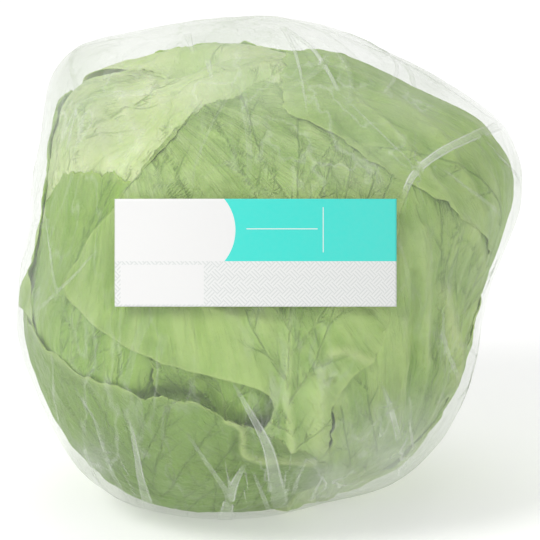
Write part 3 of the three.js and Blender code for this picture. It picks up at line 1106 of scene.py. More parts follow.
@dataclass
class LeafMaker:
    """Builds leaves from the outermost inwards, each pressed under what lies over it."""

    head: Head
    hollows: tuple[Hollow, ...]
    ridges: tuple[Ridge, ...]
    finishes: dict[Tone, bpy.types.Material]
    relief: bpy.types.NodeTree
    skin: Skin
    blade: float = 0.5 * MM
    foot: float = 1.6 * MM
    press: float = 0.2 * MM
    smoothing: float = 6.0
    easing: float = 1.7
    skip: int = 3
    over: list[RadialSurface] = field(default_factory=list)
    reached: set[str] = field(default_factory=set)

    def make(self, leaf: Leaf) -> bpy.types.Object:
        """Builds one leaf, its veins and relief, and dresses it."""
        self.reached.add(leaf.name)
        rows, columns = leaf.detail.value
        v = np.repeat(leaf.even_rows(rows)[:, None], columns, 1)
        u = np.repeat(np.linspace(-1, 1, columns)[None], rows, 0)
        plain_along, plain_across = leaf.angles(u, v)
        plain = leaf.directions(plain_along, plain_across)
        radius = self._base_radius(leaf, plain, rows, columns)
        along, across = self._ragged(leaf, u, v, plain_along, plain_across)
        directions = leaf.directions(along, across)
        margin = self._margin_distance(leaf, u, v)
        x, y = across * MM_PER_DEGREE, along * MM_PER_DEGREE
        proud, gap, beside, dark = VeinNet(leaf).read(x, y)
        proud = proud * leaf.ribs
        fan = self._fan(leaf, x, y)
        radius = radius + self._waves(leaf, fan, margin, directions)
        radius = self._hollowed(radius, directions)
        folded, whitened = self._ridged(leaf, radius, directions)
        radius = radius + folded
        pale = np.maximum(smoothstep(0.16, 0.8, proud), whitened)
        thick = self._thickness(leaf, x, v, margin)
        blister = (1 - np.exp(-((gap / 2.6) ** 2))) * (
            0.55 + 0.45 * value_noise(directions * SHEET_RADIUS_MM, 9.0, leaf.seed)
        )
        blister = blister * smoothstep(0.05, 0.3, v)
        lines = (beside, dark * smoothstep(0.06, 0.2, v))
        piece = self._raw_sheet(
            leaf, directions, radius, thick, proud, pale, lines, blister, margin, v, fan
        )
        values = {"Seed": float(leaf.seed), "Finish": self.finishes[leaf.tone]}
        if leaf.tone is Tone.HEART:
            values |= {"Blister Height": 1.5 * MM}
        run_geometry(piece, self.relief, values)
        self._pressed(piece, directions, rows, columns)
        return fixed_in_place(piece, leaf.name)

    def _base_radius(self, leaf: Leaf, directions: Array, rows: int, columns: int) -> Array:
        """The surface the leaf lies on, in metres.

        A heart leaf keeps its CAD surface. Any other lies on the skin of the head where it is bare, and
        eases down under whatever covers it.
        """
        arc = leaf.stations(np.array([0.0, 1.0]))[:, 0]
        row_mm = (arc[1] - arc[0]) * MM_PER_DEGREE / rows
        column_mm = 2 * leaf.stations(np.array([0.5]))[0, 1] * MM_PER_DEGREE / columns
        if leaf.tone is Tone.HEART:
            found = RadialSurface.of_node(self.head, leaf.name).outer(directions)
            return blurred(filled(found), self.smoothing / row_mm, self.smoothing / max(column_mm, 0.3))
        few_rows = np.unique(np.append(np.arange(0, rows, self.skip), rows - 1))
        few_columns = np.unique(np.append(np.arange(0, columns, self.skip), columns - 1))
        few = directions[np.ix_(few_rows, few_columns)]
        wanted = self.skin.read(few) - leaf.sink * MM
        for surface in self.over:
            wanted = np.fmin(wanted, surface.inner(few) - self.press)
        eased = blurred(
            wanted, self.easing / row_mm / self.skip, self.easing / max(column_mm, 0.3) / self.skip
        )
        wanted = np.minimum(wanted, eased)
        across = np.array([np.interp(np.arange(columns), few_columns, row) for row in wanted])
        whole = np.array([np.interp(np.arange(rows), few_rows, column) for column in across.T]).T
        return blurred(whole, 1.2 / row_mm, 1.2 / max(column_mm, 0.3))

    def _ragged(self, leaf: Leaf, u: Array, v: Array, along: Array, across: Array) -> tuple[Array, Array]:
        """Moves the margin in and out a little, as a torn and crinkled edge."""
        tip = self._torn_edge(leaf, u, 1) * v**14 * 1.7
        sides = self._torn_edge(
            leaf, v * 2 + np.sign(u), 2
        ) * np.abs(u) ** 10 * 1.5 * smoothstep(0.08, 0.3, v)
        return along + tip * leaf.ruffle, across + np.sign(u) * sides * leaf.ruffle

    @staticmethod
    def _torn_edge(leaf: Leaf, t: Array, side: int) -> Array:
        """How far a margin strays, in degrees, along t from -1 to 1."""
        row = np.stack([t * 30, np.full_like(t, side * 3.7), np.zeros_like(t)], -1)
        parts = ((1.5, 11.0, 5), (0.9, 5.0, 0), (0.5, 1.6, 7), (0.25, 0.55, 9))
        return sum(size * value_noise(row, wave, leaf.seed + k) for size, wave, k in parts)

    def _margin_distance(self, leaf: Leaf, u: Array, v: Array) -> Array:
        """Distance to the nearest margin, in mm, without the foot."""
        arc, left, right = leaf.stations(v.ravel()).T.reshape(3, *v.shape)
        side = (1 - np.abs(u)) * np.where(u < 0, left, right)
        tip = leaf.stations(np.array([1.0]))[0, 0] - arc
        return np.minimum(side, tip) * MM_PER_DEGREE

    @staticmethod
    def _fan(leaf: Leaf, x: Array, y: Array) -> Array:
        """Coordinates in mm that fan out from one place: across the fan, and along it much slower.

        A fan whose place is above the head's equator opens downwards.
        """
        across, along = leaf.fan_from
        run, rise = x - across * MM_PER_DEGREE, y - along * MM_PER_DEGREE
        if along > EQUATOR_DEGREES:
            rise = -rise
        return np.stack([np.arctan2(run, rise) * 62, np.hypot(run, rise) * 0.14, np.zeros_like(x)], -1)

    def _waves(self, leaf: Leaf, fan: Array, margin: Array, directions: Array) -> Array:
        """Broad swells over the blade, pleats that fan from its foot and ruffles at its margin, in metres."""
        spot = directions * SHEET_RADIUS_MM
        broad = value_noise(spot, 24.0, leaf.seed + 20) * 0.7 - 0.7
        pleats = value_noise(fan, 6.5, leaf.seed + 30) * 1.1 + value_noise(fan, 2.3, leaf.seed + 31) * 0.45
        pleats = pleats - np.abs(value_noise(fan, 4.2, leaf.seed + 32)) * 1.3 + 0.4
        pleats = pleats * smoothstep(0.6, 4.0, fan[..., 1])
        ruffles = value_noise(spot, 6.0, leaf.seed + 40) * np.exp(-margin / 6.0) * 0.8
        lift = np.exp(-margin / 4.0) * 0.4 - leaf.curl * smoothstep(7.0, 2.5, margin) * smoothstep(
            0.3, 0.6, fan[..., 1] / 14
        )
        return (broad + pleats + ruffles * leaf.ruffle + lift) * MM

    def _hollowed(self, radius: Array, directions: Array) -> Array:
        """Pushes the hollows in."""
        right, up, forward = self.head.seen(self.head.place(directions, radius))
        for hollow in self.hollows:
            if hollow.first not in self.reached:
                continue
            away = np.hypot(right - hollow.right, up - hollow.up) / hollow.reach
            radius = radius - np.where(forward > 0, hollow.depth * np.exp(-(away**2)), 0) * MM
        return radius

    def _ridged(self, leaf: Leaf, radius: Array, directions: Array) -> tuple[Array, Array]:
        """The leaf's own ridges and grooves: how far they stand proud in metres, and how pale they are."""
        right, up, forward = self.head.seen(self.head.place(directions, radius))
        rise, pale = np.zeros(radius.shape), np.zeros(radius.shape)
        for ridge in self.ridges:
            if ridge.leaf != leaf.name:
                continue
            path = catmull_rom(np.array(ridge.path, float), np.linspace(0, len(ridge.path) - 1, 60))
            away = np.full(radius.shape, np.inf)
            for x, y in path:
                away = np.minimum(away, np.hypot(right - x, up - y))
            profile = np.exp(-((away / ridge.width) ** 2)) * (forward > 0)
            rise += profile * ridge.height * MM
            pale = np.maximum(pale, profile * ridge.pale)
        return rise, pale

    def _thickness(self, leaf: Leaf, x: Array, v: Array, margin: Array) -> Array:
        """A thin blade that thickens at its midrib and foot and thins out at its margin, in metres."""
        midrib = np.exp(-((x / 7.0) ** 2)) * (1 - v) ** 1.5
        thin = 0.55 + 0.45 * smoothstep(0, 6, margin)
        return self.blade * thin + self.foot * midrib

    def _raw_sheet(
        self,
        leaf: Leaf,
        directions: Array,
        radius: Array,
        thick: Array,
        proud: Array,
        pale: Array,
        lines: tuple[Array, Array],
        blister: Array,
        margin: Array,
        v: Array,
        fan: Array,
    ) -> bpy.types.Object:
        """The closed sheet before its relief, with what the relief and the finish read."""
        outer = self.head.place(directions, radius).reshape(-1, 3)
        inner = self.head.place(directions, radius - thick).reshape(-1, 3)
        foot = (1 - smoothstep(0.0, 0.45, v)) ** 1.5
        # painted highlight: strongest at the margin and gone a few mm in
        rim = np.exp(-margin / 1.1)
        attributes = {
            "rib": np.concatenate([proud.ravel(), np.zeros(proud.size)]),
            "blister": both(blister),
            "vein_side": both(lines[0]),
            "vein": both(lines[1]),
            "pale": both(pale),
            # painted shade, the same over the whole leaf
            "shade": np.full(2 * proud.size, leaf.shade),
            "foot": both(foot),
            "rim": both(rim),
            "outward": np.concatenate([directions.reshape(-1, 3)] * 2),
            "fan": np.concatenate([fan.reshape(-1, 3)] * 2),
        }
        return make_mesh(
            leaf.name + "_blade", np.concatenate([outer, inner]), sheet_faces(*radius.shape), attributes
        )

    def _pressed(self, piece: bpy.types.Object, directions: Array, rows: int, columns: int) -> None:
        """Presses the leaf under everything that lies over it, and lays it over what comes next."""
        points = points_of(piece.data)
        half = rows * columns
        away = np.linalg.norm(points - self.head.centre, axis=1)
        outer, inner = away[:half].reshape(rows, columns), away[half:].reshape(rows, columns)
        limit = np.full((rows, columns), np.inf)
        for surface in self.over:
            found = surface.inner(directions)
            limit = np.fmin(limit, found)
        excess = np.maximum(0, outer - (limit - self.press))
        outer, inner = outer - excess, inner - excess
        points[:half] = self.head.place(directions, outer).reshape(-1, 3)
        points[half:] = self.head.place(directions, inner).reshape(-1, 3)
        piece.data.vertices.foreach_set("co", points.astype(np.float32).ravel())
        piece.data.update()
        skin = self._coarse(points[half:].reshape(rows, columns, 3))
        self.over.append(skin)

    def _coarse(self, grid: Array) -> RadialSurface:
        """The underside of a leaf at half its detail, quick to cast rays at."""
        rows = np.unique(np.append(np.arange(0, grid.shape[0], 2), grid.shape[0] - 1))
        columns = np.unique(np.append(np.arange(0, grid.shape[1], 2), grid.shape[1] - 1))
        small = grid[np.ix_(rows, columns)]
        return RadialSurface(self.head, small.reshape(-1, 3), grid_faces(len(rows), len(columns)).tolist())


def leaves() -> list[Leaf]:
    """Every leaf of the head, outermost first."""
    shown, away, hidden = Detail.SHOWN, Detail.TURNED_AWAY, Detail.HIDDEN
    found = [
        Leaf(
            "wrapper_leaf_lower_left",
            -35,
            (-8, 9),
            ((13, 12, 12), (28, 34, 34), (44, 50, 38), (60, 58, 34), (70, 60, 29), (77, 60, 27)),
            detail=shown,
            # strong painted shade: this leaf faces down and away from the light
            shade=0.85,
            curl=0.9,
            ribs=0.25,
            fan_from=(58, 16),
            seed=3,
        ),
        Leaf(
            "wrapper_leaf_upper_right",
            85,
            (4, 20),
            (
                (13, 10, 12),
                (42, 8, 34),
                (72, 6, 46),
                (98, 8, 48),
                (118, 26, 46),
                (148, 31, 42),
                (176, 27, 26),
            ),
            detail=shown,
            seed=5,
        ),
        Leaf(
            "wrapper_leaf_back",
            -172,
            (10, 10),
            ((13, 12, 12), (40, 34, 30), (70, 48, 44), (100, 50, 50), (126, 42, 42), (142, 26, 28)),
            seed=7,
        ),
        Leaf(
            "wrapper_leaf_front",
            8,
            (14, 6),
            (
                (13, 10, 9),
                (45, 8, 8),
                (58, 9, 8),
                (66, 12, 9),
                (75, 8, 9),
                (82, 9, 13),
                (86, 19, 19),
                (90, 34, 22),
                (99, 52, 24),
                (118, 63, 26),
                (142, 50, 30),
                (165, 27, 32),
            ),
            detail=shown,
            shade=0.1,
            fan_from=(-42, 180),
            seed=11,
        ),
        Leaf(
            "wrapper_leaf_right",
            45,
            (10, 10),
            ((13, 12, 12), (38, 20, 30), (62, 24, 36), (84, 28, 40), (108, 28, 44), (130, 24, 36)),
            detail=shown,
            shade=0.1,
            seed=13,
        ),
        Leaf(
            "side_leaf_left",
            -108,
            (16, 10),
            ((13, 12, 12), (40, 34, 32), (70, 46, 40), (96, 46, 28), (114, 34, 14), (128, 20, 6)),
            seed=17,
        ),
        Leaf(
            "side_leaf_right",
            128,
            (10, 12),
            ((13, 12, 12), (40, 32, 34), (70, 44, 46), (100, 46, 48), (130, 40, 40), (152, 24, 26)),
            seed=19,
        ),
        Leaf(
            "under_leaf_front",
            -8,
            (8, 8),
            ((13, 12, 12), (40, 18, 24), (66, 22, 30), (90, 22, 32), (114, 16, 24)),
            Tone.UNDER,
            shown,
            sink=1.5,
            shade=0.2,
            seed=23,
        ),
        Leaf(
            "under_leaf_left",
            -52,
            (12, 8),
            ((13, 12, 12), (42, 30, 28), (70, 40, 36), (98, 42, 38), (126, 30, 28)),
            Tone.UNDER,
            shown,
            sink=1.5,
            shade=0.2,
            seed=29,
        ),
        Leaf(
            "crown_leaf_front",
            2,
            (2, 2),
            ((13, 10, 10), (50, 28, 28), (90, 42, 42), (125, 40, 40), (152, 30, 28), (177, 24, 20)),
            Tone.PALE,
            away,
            sink=1.0,
            seed=31,
        ),
        Leaf(
            "pale_leaf_upper_left",
            -58,
            (10, 8),
            ((13, 10, 10), (46, 30, 30), (82, 48, 44), (118, 56, 50), (146, 50, 46), (168, 32, 30)),
            Tone.PALE,
            shown,
            sink=1.0,
            seed=37,
        ),
        Leaf(
            "crown_leaf_back",
            150,
            (14, 14),
            ((13, 12, 12), (48, 34, 34), (88, 52, 52), (124, 52, 56), (156, 42, 66), (188, 34, 62)),
            Tone.PALE,
            away,
            sink=1.0,
            seed=41,
        ),
    ]
    cup = ((13, 9, 9), (46, 40, 40), (84, 62, 62), (120, 62, 62), (150, 44, 44), (172, 24, 24))
    golden_angle = 137.5
    for i in range(8):
        found.append(
            Leaf(
                f"heart_leaf_{i + 1:02d}",
                20 + i * golden_angle,
                (16, 16),
                cup,
                Tone.HEART,
                hidden,
                seed=50 + i,
            )
        )
    return found


# ---- Film ------------------------------------------------------------------------------


@dataclass(frozen=True)
class Crease:
    """A crease in the film on the labelled side: its places to the right and up from the middle, in mm."""

    path: tuple[tuple[float, float], ...]
    width: float = 1.0
    end_width: float = 1.0
    height: float = 0.8
    strength: float = 0.6


@dataclass(frozen=True)
class MilkyPatch:
    """A place on the labelled side where the film is crumpled and cloudy, in mm from the middle; its
    whiteness is partly the film's own and partly a painted sheen.
    """

    right: float
    up: float
    reach: float
    strength: float


@dataclass
class FilmWrap:
    """The clear film: one thin closed sheet round the head, open under the stem."""

    head: Head
    creases: tuple[Crease, ...]
    patches: tuple[MilkyPatch, ...]
    rings: int = 206
    columns: int = 236
    opening: float = math.radians(9)
    top_gap: float = math.radians(0.4)
    thickness: float = 0.15 * MM
    front_share: float = 0.35
    smoothing: float = 2.6
    stray_creases: int = 46
    seed: int = 4
    flat: tuple[float, float] = (0.35, 0.33)

    def make(self, finish: bpy.types.Material, label: "Label") -> bpy.types.Object:
        """Builds the creased film and dresses it."""
        polar = np.linspace(self.opening, math.pi - self.top_gap, self.rings)[:, None]
        turn = np.arange(self.columns) / self.columns * 2 * math.pi
        turn = (turn - self.front_share * np.sin(turn) - math.pi / 2)[None]
        directions = ball_directions(polar, turn)
        cad = RadialSurface.of_node(self.head, "film_wrap")
        radius = blurred(filled(cad.outer(directions)), self.smoothing, self.smoothing, wrapped=True)
        fold, width, strength, height = self._folds(cad, directions, radius)
        spot = directions * SHEET_RADIUS_MM
        ripple = value_noise(spot, 7.0, self.seed) * 0.25 + value_noise(spot, 18.0, self.seed + 1) * 0.5
        wide = np.maximum(width, 1.4)
        ridge = np.exp(-((fold / wide) ** 2)) - 0.45 * np.exp(-(((fold - 2 * wide) / (1.5 * wide)) ** 2))
        under_label = label.nearness(self.head.place(directions, radius))
        radius = radius + (ripple + ridge * height) * MM * (1 - under_label)
        floor = self.head.centre[2] / np.maximum(-directions[..., 2], 1e-6)
        radius = np.where(directions[..., 2] < 0, np.minimum(radius, floor), radius)
        outer = self.head.place(directions, radius).reshape(-1, 3)
        inner = self.head.place(directions, radius - self.thickness).reshape(-1, 3)
        strength = strength * (1 - under_label)
        milk = self._milk_and_sheen(self.head.place(directions, radius)) * (1 - under_label)
        attributes = {
            "fold": both(fold),
            "fold_width": both(width),
            "fold_strength": both(strength),
            "milk": both(milk),
        }
        faces = sheet_faces(self.rings, self.columns, wrapped=True)
        faces = np.delete(faces, np.arange(len(faces) - self.columns, len(faces)), axis=0)
        piece = make_mesh("film", np.concatenate([outer, inner]), faces, attributes)
        close_rings(piece)
        piece.data.materials.append(finish)
        self.inside = RadialSurface(
            self.head, inner, grid_faces(self.rings, self.columns, wrapped=True).tolist()
        )
        return fixed_in_place(piece, "film_wrap")

    def _milk_and_sheen(self, points: Array) -> Array:
        """How cloudy the film is at each point, from its patches; the cloud is partly a painted sheen."""
        right, up, forward = self.head.seen(points)
        milk = np.zeros(right.shape)
        for patch in self.patches:
            away = np.hypot(right - patch.right, up - patch.up) / patch.reach
            milk = np.maximum(milk, patch.strength * np.exp(-(away**2)))
        return milk * smoothstep(-25, 5, forward)

    def _folds(
        self, cad: RadialSurface, directions: Array, radius: Array
    ) -> tuple[Array, Array, Array, Array]:
        """For each point: signed distance to the nearest crease in mm, and that crease's facts."""
        places, tangents, facts = [], [], []
        for crease in self.creases:
            fact = (crease.width, crease.end_width, crease.strength, crease.height)
            self._lay(self._on_film(cad, crease), fact, places, tangents, facts)
        for path, fact in self._strays():
            self._lay(self._dropped(cad, path), fact, places, tangents, facts)
        tree = kd_tree(places)
        points = self.head.place(directions, radius).reshape(-1, 3)
        nearest = np.array([tree.find(p)[1] for p in points])
        places, tangents, facts = np.array(places), np.array(tangents), np.array(facts)
        away = points - places[nearest]
        side = np.cross(tangents[nearest], directions.reshape(-1, 3))
        distance = np.linalg.norm(away, axis=1) * np.sign((away * side).sum(1)) / MM
        distance = np.clip(distance, -15, 15)
        shape = radius.shape
        return (distance.reshape(shape), *(facts[nearest, k].reshape(shape) for k in range(3)))

    def _on_film(self, cad: RadialSurface, crease: Crease) -> Array:
        """A crease's path laid on the film from the labelled side, closely spaced."""
        knots = np.array(crease.path, float)
        at = np.linspace(0, len(knots) - 1, 40 * (len(knots) - 1))
        flat = catmull_rom(knots, at) * MM
        laid = []
        for x, y in flat:
            start = self.head.centre + x * self.head.right + y * self.head.up + 0.2 * self.head.front
            hit = cad.tree.ray_cast(Vector(start), Vector(-self.head.front))
            if hit[0] is not None:
                laid.append(np.array(hit[0]))
        return np.array(laid)

    def _strays(self) -> list[tuple[Array, tuple[float, ...]]]:
        """Small creases all round, running mostly up and down, as directions from the centre."""
        random = np.random.default_rng(self.seed)
        found = []
        for _ in range(self.stray_creases):
            turn = random.uniform(0, 2 * math.pi)
            height = random.uniform(-0.85, 0.95)
            lean = random.normal(0, 0.5)
            length = random.uniform(0.2, 0.65)
            t = np.linspace(0, length, 60)
            bend = random.normal(0, 0.5)
            latitude = math.asin(height) + np.cos(lean) * (t - length / 2)
            longitude = turn + (np.sin(lean) * t + bend * t * t) / max(0.35, math.cos(math.asin(height)))
            path = np.stack(
                [
                    np.cos(latitude) * np.cos(longitude),
                    np.cos(latitude) * np.sin(longitude),
                    np.sin(latitude),
                ],
                -1,
            )
            front = path[30] @ self.head.front
            strength = random.uniform(0.12, 0.4) * (0.45 if front > 0.3 else 1.0)
            width = random.uniform(0.35, 0.8)
            found.append((path, (width, width * random.uniform(1, 3), strength, random.uniform(0.25, 0.8))))
        return found

    def _dropped(self, cad: RadialSurface, path: Array) -> Array:
        """A path of directions laid on the film."""
        radii = cad.outer(path)
        kept = ~np.isnan(radii)
        return self.head.place(path[kept], radii[kept])

    def _lay(self, line: Array, fact: tuple[float, ...], places: list, tangents: list, facts: list) -> None:
        """Adds a crease's points, with its strength faded at both ends."""
        if len(line) < 3:
            return
        tangent = np.gradient(line, axis=0)
        tangent /= np.linalg.norm(tangent, axis=1)[:, None] + 1e-12
        width, end_width, strength, height = fact
        widths = np.linspace(width, end_width, len(line))
        ends = np.sin(np.linspace(0, math.pi, len(line))) ** 0.6
        places.extend(line)
        tangents.extend(tangent)
        facts.extend([(w, strength * e, height * e) for w, e in zip(widths, ends)])


# ---- Label -----------------------------------------------------------------------------


@dataclass
class Label:
    """The bare paper label: a thin rectangle bent round the front of the film."""

    head: Head
    width: float = 100 * MM
    height: float = 37.5 * MM
    bend_radius: float = 140 * MM
    thickness: float = 0.2 * MM
    offset_right: float = -5 * MM
    offset_up: float = 6 * MM
    front: float = 81.2 * MM
    columns: int = 150
    rows: int = 56
    strip_height: float = 15.8
    bulge_centre: tuple[float, float] = (26.0, 26.6)
    bulge_radius: float = 17.0
    blank_box: tuple[float, float, float, float] = (2.2, 32.0, 0.8, 14.6)
    rules: tuple[tuple[float, float, float, float], ...] = (
        (46.8, 71.6, 26.9, 27.2),
        (73.4, 73.7, 18.9, 34.6),
    )

    def surface(self, along: Array, up: Array, lift: Array) -> Array:
        """Points on the bent rectangle, from mm to the right and up of its middle."""
        angle = along * MM / self.bend_radius
        reach = self.bend_radius + lift
        depth = self.front - self.bend_radius + reach * np.cos(angle)
        right = self.offset_right + reach * np.sin(angle)
        return (
            self.head.centre
            + right[..., None] * self.head.right
            + depth[..., None] * self.head.front
            + (self.offset_up + up * MM)[..., None] * self.head.up
        )

    def nearness(self, points: Array) -> Array:
        """1 under the label, fading to 0 a few mm outside it."""
        right, up, forward = self.head.seen(points)
        beyond_x = np.abs(right - self.offset_right / MM) - self.width / MM / 2
        beyond_y = np.abs(up - self.offset_up / MM) - self.height / MM / 2
        outside = np.hypot(np.maximum(beyond_x, 0), np.maximum(beyond_y, 0))
        return np.where(forward > 0, 1 - smoothstep(0.5, 7.0, outside), 0)

    def make(self, finish: bpy.types.Material) -> bpy.types.Object:
        """Builds the label and dresses it."""
        half_w, half_h = self.width / MM / 2, self.height / MM / 2
        along, up = np.meshgrid(
            np.linspace(-half_w, half_w, self.columns), np.linspace(-half_h, half_h, self.rows)
        )
        spot = np.stack([along, up, np.zeros_like(along)], -1)
        wave = (0.5 + 0.5 * value_noise(spot, 14.0, 8)) * 0.12 * MM
        outer = self.surface(along, up, wave + self.thickness).reshape(-1, 3)
        inner = self.surface(along, up, wave).reshape(-1, 3)
        printed = np.concatenate([np.ones(along.size), np.zeros(along.size)])
        faces = sheet_faces(self.rows, self.columns)
        piece = make_mesh("label_sheet", np.concatenate([outer, inner]), faces, {"printed": printed})
        share = np.stack([along / (2 * half_w) + 0.5, up / (2 * half_h) + 0.5], -1).reshape(-1, 2)
        share = np.concatenate([share, share])
        layer = piece.data.uv_layers.new(name="print")
        corner = np.empty(len(piece.data.loops), np.int32)
        piece.data.loops.foreach_get("vertex_index", corner)
        layer.data.foreach_set("uv", share[corner].astype(np.float32).ravel())
        piece.data.materials.append(finish)
        return fixed_in_place(piece, "label")


# ---- Heart and stem --------------------------------------------------------------------


@dataclass
class Heart:
    """The innermost leaves, folded too tightly to tell apart."""

    head: Head
    rings: int = 70
    columns: int = 96

    def make_bud(self, finish: bpy.types.Material) -> bpy.types.Object:
        """Builds the bud: the CAD bud's shape, crumpled into tight folds."""
        polar = np.linspace(0.02, math.pi - 0.02, self.rings)[:, None]
        turn = (np.arange(self.columns) / self.columns * 2 * math.pi)[None]
        directions = ball_directions(polar, turn)
        radius = blurred(
            filled(RadialSurface.of_node(self.head, "heart_bud").outer(directions)), 2, 2, wrapped=True
        )
        folds = np.abs(
            value_noise(directions * 20, 5.0, 90)
        ) * 1.6 + np.abs(value_noise(directions * 20, 2.0, 91)) * 0.7
        radius = radius - folds * MM
        points = self.head.place(directions, radius).reshape(-1, 3)
        faces = grid_faces(self.rings, self.columns, wrapped=True)
        flat = np.zeros(len(points))
        piece = make_mesh(
            "heart_folds",
            points,
            faces,
            {"vein": flat, "pale": flat, "foot": flat, "rim": flat, "shade": flat},
        )
        close_rings(piece)
        piece.data.materials.append(finish)
        return fixed_in_place(piece, "heart_bud")


@dataclass
class Stem:
    """The short white stem, cut level at its foot, with a ring of veins in the cut."""

    head: Head
    rings: int = 90
    columns: int = 96
    bundles: int = 16
    ring_share: float = 0.62
    seed: int = 12
    outside: float = 100 * MM

    def make(self, finish: bpy.types.Material) -> bpy.types.Object:
        """Builds the stem's skin from its CAD solid and sets the veins in its cut."""
        low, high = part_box("stem_core")
        middle = (low + high) / 2
        cad = BVHTree.FromPolygons(*self._solid())
        turns = np.arange(self.columns) / self.columns * 2 * math.pi
        foot, top = low.z + 0.05 * MM, high.z - 0.3 * MM
        heights = np.linspace(0, 1, self.rings) ** 1.4 * (top - foot) + foot
        radii = np.array([[self._reach(cad, middle, z, a) for a in turns] for z in heights])
        radii = blurred(filled(radii), 1.5, 1.5, wrapped=True)
        spot = np.stack(
            [np.cos(turns)[None] * radii, np.sin(turns)[None] * radii, heights[:, None] + 0 * radii], -1
        )
        radii = radii - (0.35 + 0.35 * value_noise(spot / MM, 4.0, self.seed)) * MM
        ring = np.stack(
            [np.cos(turns)[None] * radii, np.sin(turns)[None] * radii, heights[:, None] + 0 * radii], -1
        )
        steps = np.linspace(0.06, 0.96, 16)[:, None, None]
        face = ring[:1] * np.concatenate([np.repeat(steps, 2, -1), np.ones_like(steps)], -1)
        face[..., 2] = foot + (0.35 + 0.25 * value_noise(face / MM, 3.0, self.seed + 1)) * MM
        points = np.concatenate([face, ring]) + np.array([middle.x, middle.y, 0])
        brown = np.concatenate(
            [
                np.repeat(np.linspace(0.15, 1, 16) ** 2, self.columns),
                np.exp(-(heights - foot) / 0.006).repeat(self.columns),
            ]
        )
        faces = grid_faces(len(points), self.columns, wrapped=True)
        piece = make_mesh("stem_flesh", points.reshape(-1, 3), faces, {"browning": brown})
        close_rings(piece)
        run_geometry(piece, self._bundle_tree(), {
            "Ring Radius": float(radii[0].mean() * self.ring_share),
            "Ring Height": float(foot + 0.5 * MM),
            "Middle": (middle.x, middle.y, 0.0),
            "Count": self.bundles,
            "Seed": self.seed,
            "Finish": finish,
        })
        return fixed_in_place(piece, "stem_core")

    def _solid(self) -> tuple[list, list]:
        """The CAD stem's points and faces."""
        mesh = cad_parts["stem_core"].data
        return [v.co.copy() for v in mesh.vertices], [tuple(p.vertices) for p in mesh.polygons]

    def _reach(self, cad: BVHTree, middle: Vector, z: float, turn: float) -> float:
        """Distance from the stem's axis to its side."""
        way = Vector((math.cos(turn), math.sin(turn), 0))
        hit = cad.ray_cast(Vector((middle.x, middle.y, z)) + way * self.outside, -way)
        return self.outside - hit[3] if hit[0] is not None else math.nan

    def _bundle_tree(self) -> bpy.types.NodeTree:
        """The tree that sets a ring of small oval veins in the cut face."""
        inputs = {
            "Geometry": "NodeSocketGeometry",
            "Ring Radius": 0.01,
            "Ring Height": 0.002,
            "Bundle Radius": 0.0008,
            "Middle": "NodeSocketVector",
            "Count": "NodeSocketInt",
            "Seed": "NodeSocketInt",
            "Finish": "NodeSocketMaterial",
        }
        tree, source, out = new_group(
            "Stem veins", "GeometryNodeTree", inputs, {"Geometry": "NodeSocketGeometry"}
        )
        circle = tree.node(
            "GeometryNodeMeshCircle", {"Vertices": source["Count"], "Radius": source["Ring Radius"]}
        )
        lift = tree.node("ShaderNodeCombineXYZ", {"Z": source["Ring Height"]})
        place = tree.node(
            "ShaderNodeVectorMath", {0: source["Middle"], 1: lift.outputs[0]}, operation="ADD"
        )
        jitter = tree.node(
            "FunctionNodeRandomValue",
            {"Min": (-0.0008, -0.0008, 0.0), "Max": (0.0008, 0.0008, 0.0), "Seed": source["Seed"]},
            data_type="FLOAT_VECTOR",
        )
        offset = tree.node(
            "ShaderNodeVectorMath", {0: place.outputs[0], 1: jitter.outputs[0]}, operation="ADD"
        )
        ring = tree.node(
            "GeometryNodeSetPosition", {"Geometry": circle.outputs[0], "Offset": offset.outputs[0]}
        )
        ball = tree.node(
            "GeometryNodeMeshIcoSphere", {"Radius": source["Bundle Radius"], "Subdivisions": 2}
        )
        flat = tree.node("ShaderNodeCombineXYZ", {"X": 1.0, "Y": 1.5, "Z": 0.35})
        spread = tree.node(
            "GeometryNodeInstanceOnPoints",
            {"Points": ring.outputs[0], "Instance": ball.outputs[0], "Scale": flat.outputs[0]},
        )
        whole = tree.node("GeometryNodeRealizeInstances", {"Geometry": spread.outputs[0]})
        both = tree.node("GeometryNodeJoinGeometry")
        tree.feed(both.inputs[0], source["Geometry"])
        tree.feed(both.inputs[0], whole.outputs[0])
        dressed = tree.node(
            "GeometryNodeSetMaterial", {"Geometry": both.outputs[0], "Material": source["Finish"]}
        )
        tree.feed(out.inputs["Geometry"], dressed.outputs[0])
        return tree.tree


# ---- Studio ----------------------------------------------------------------------------


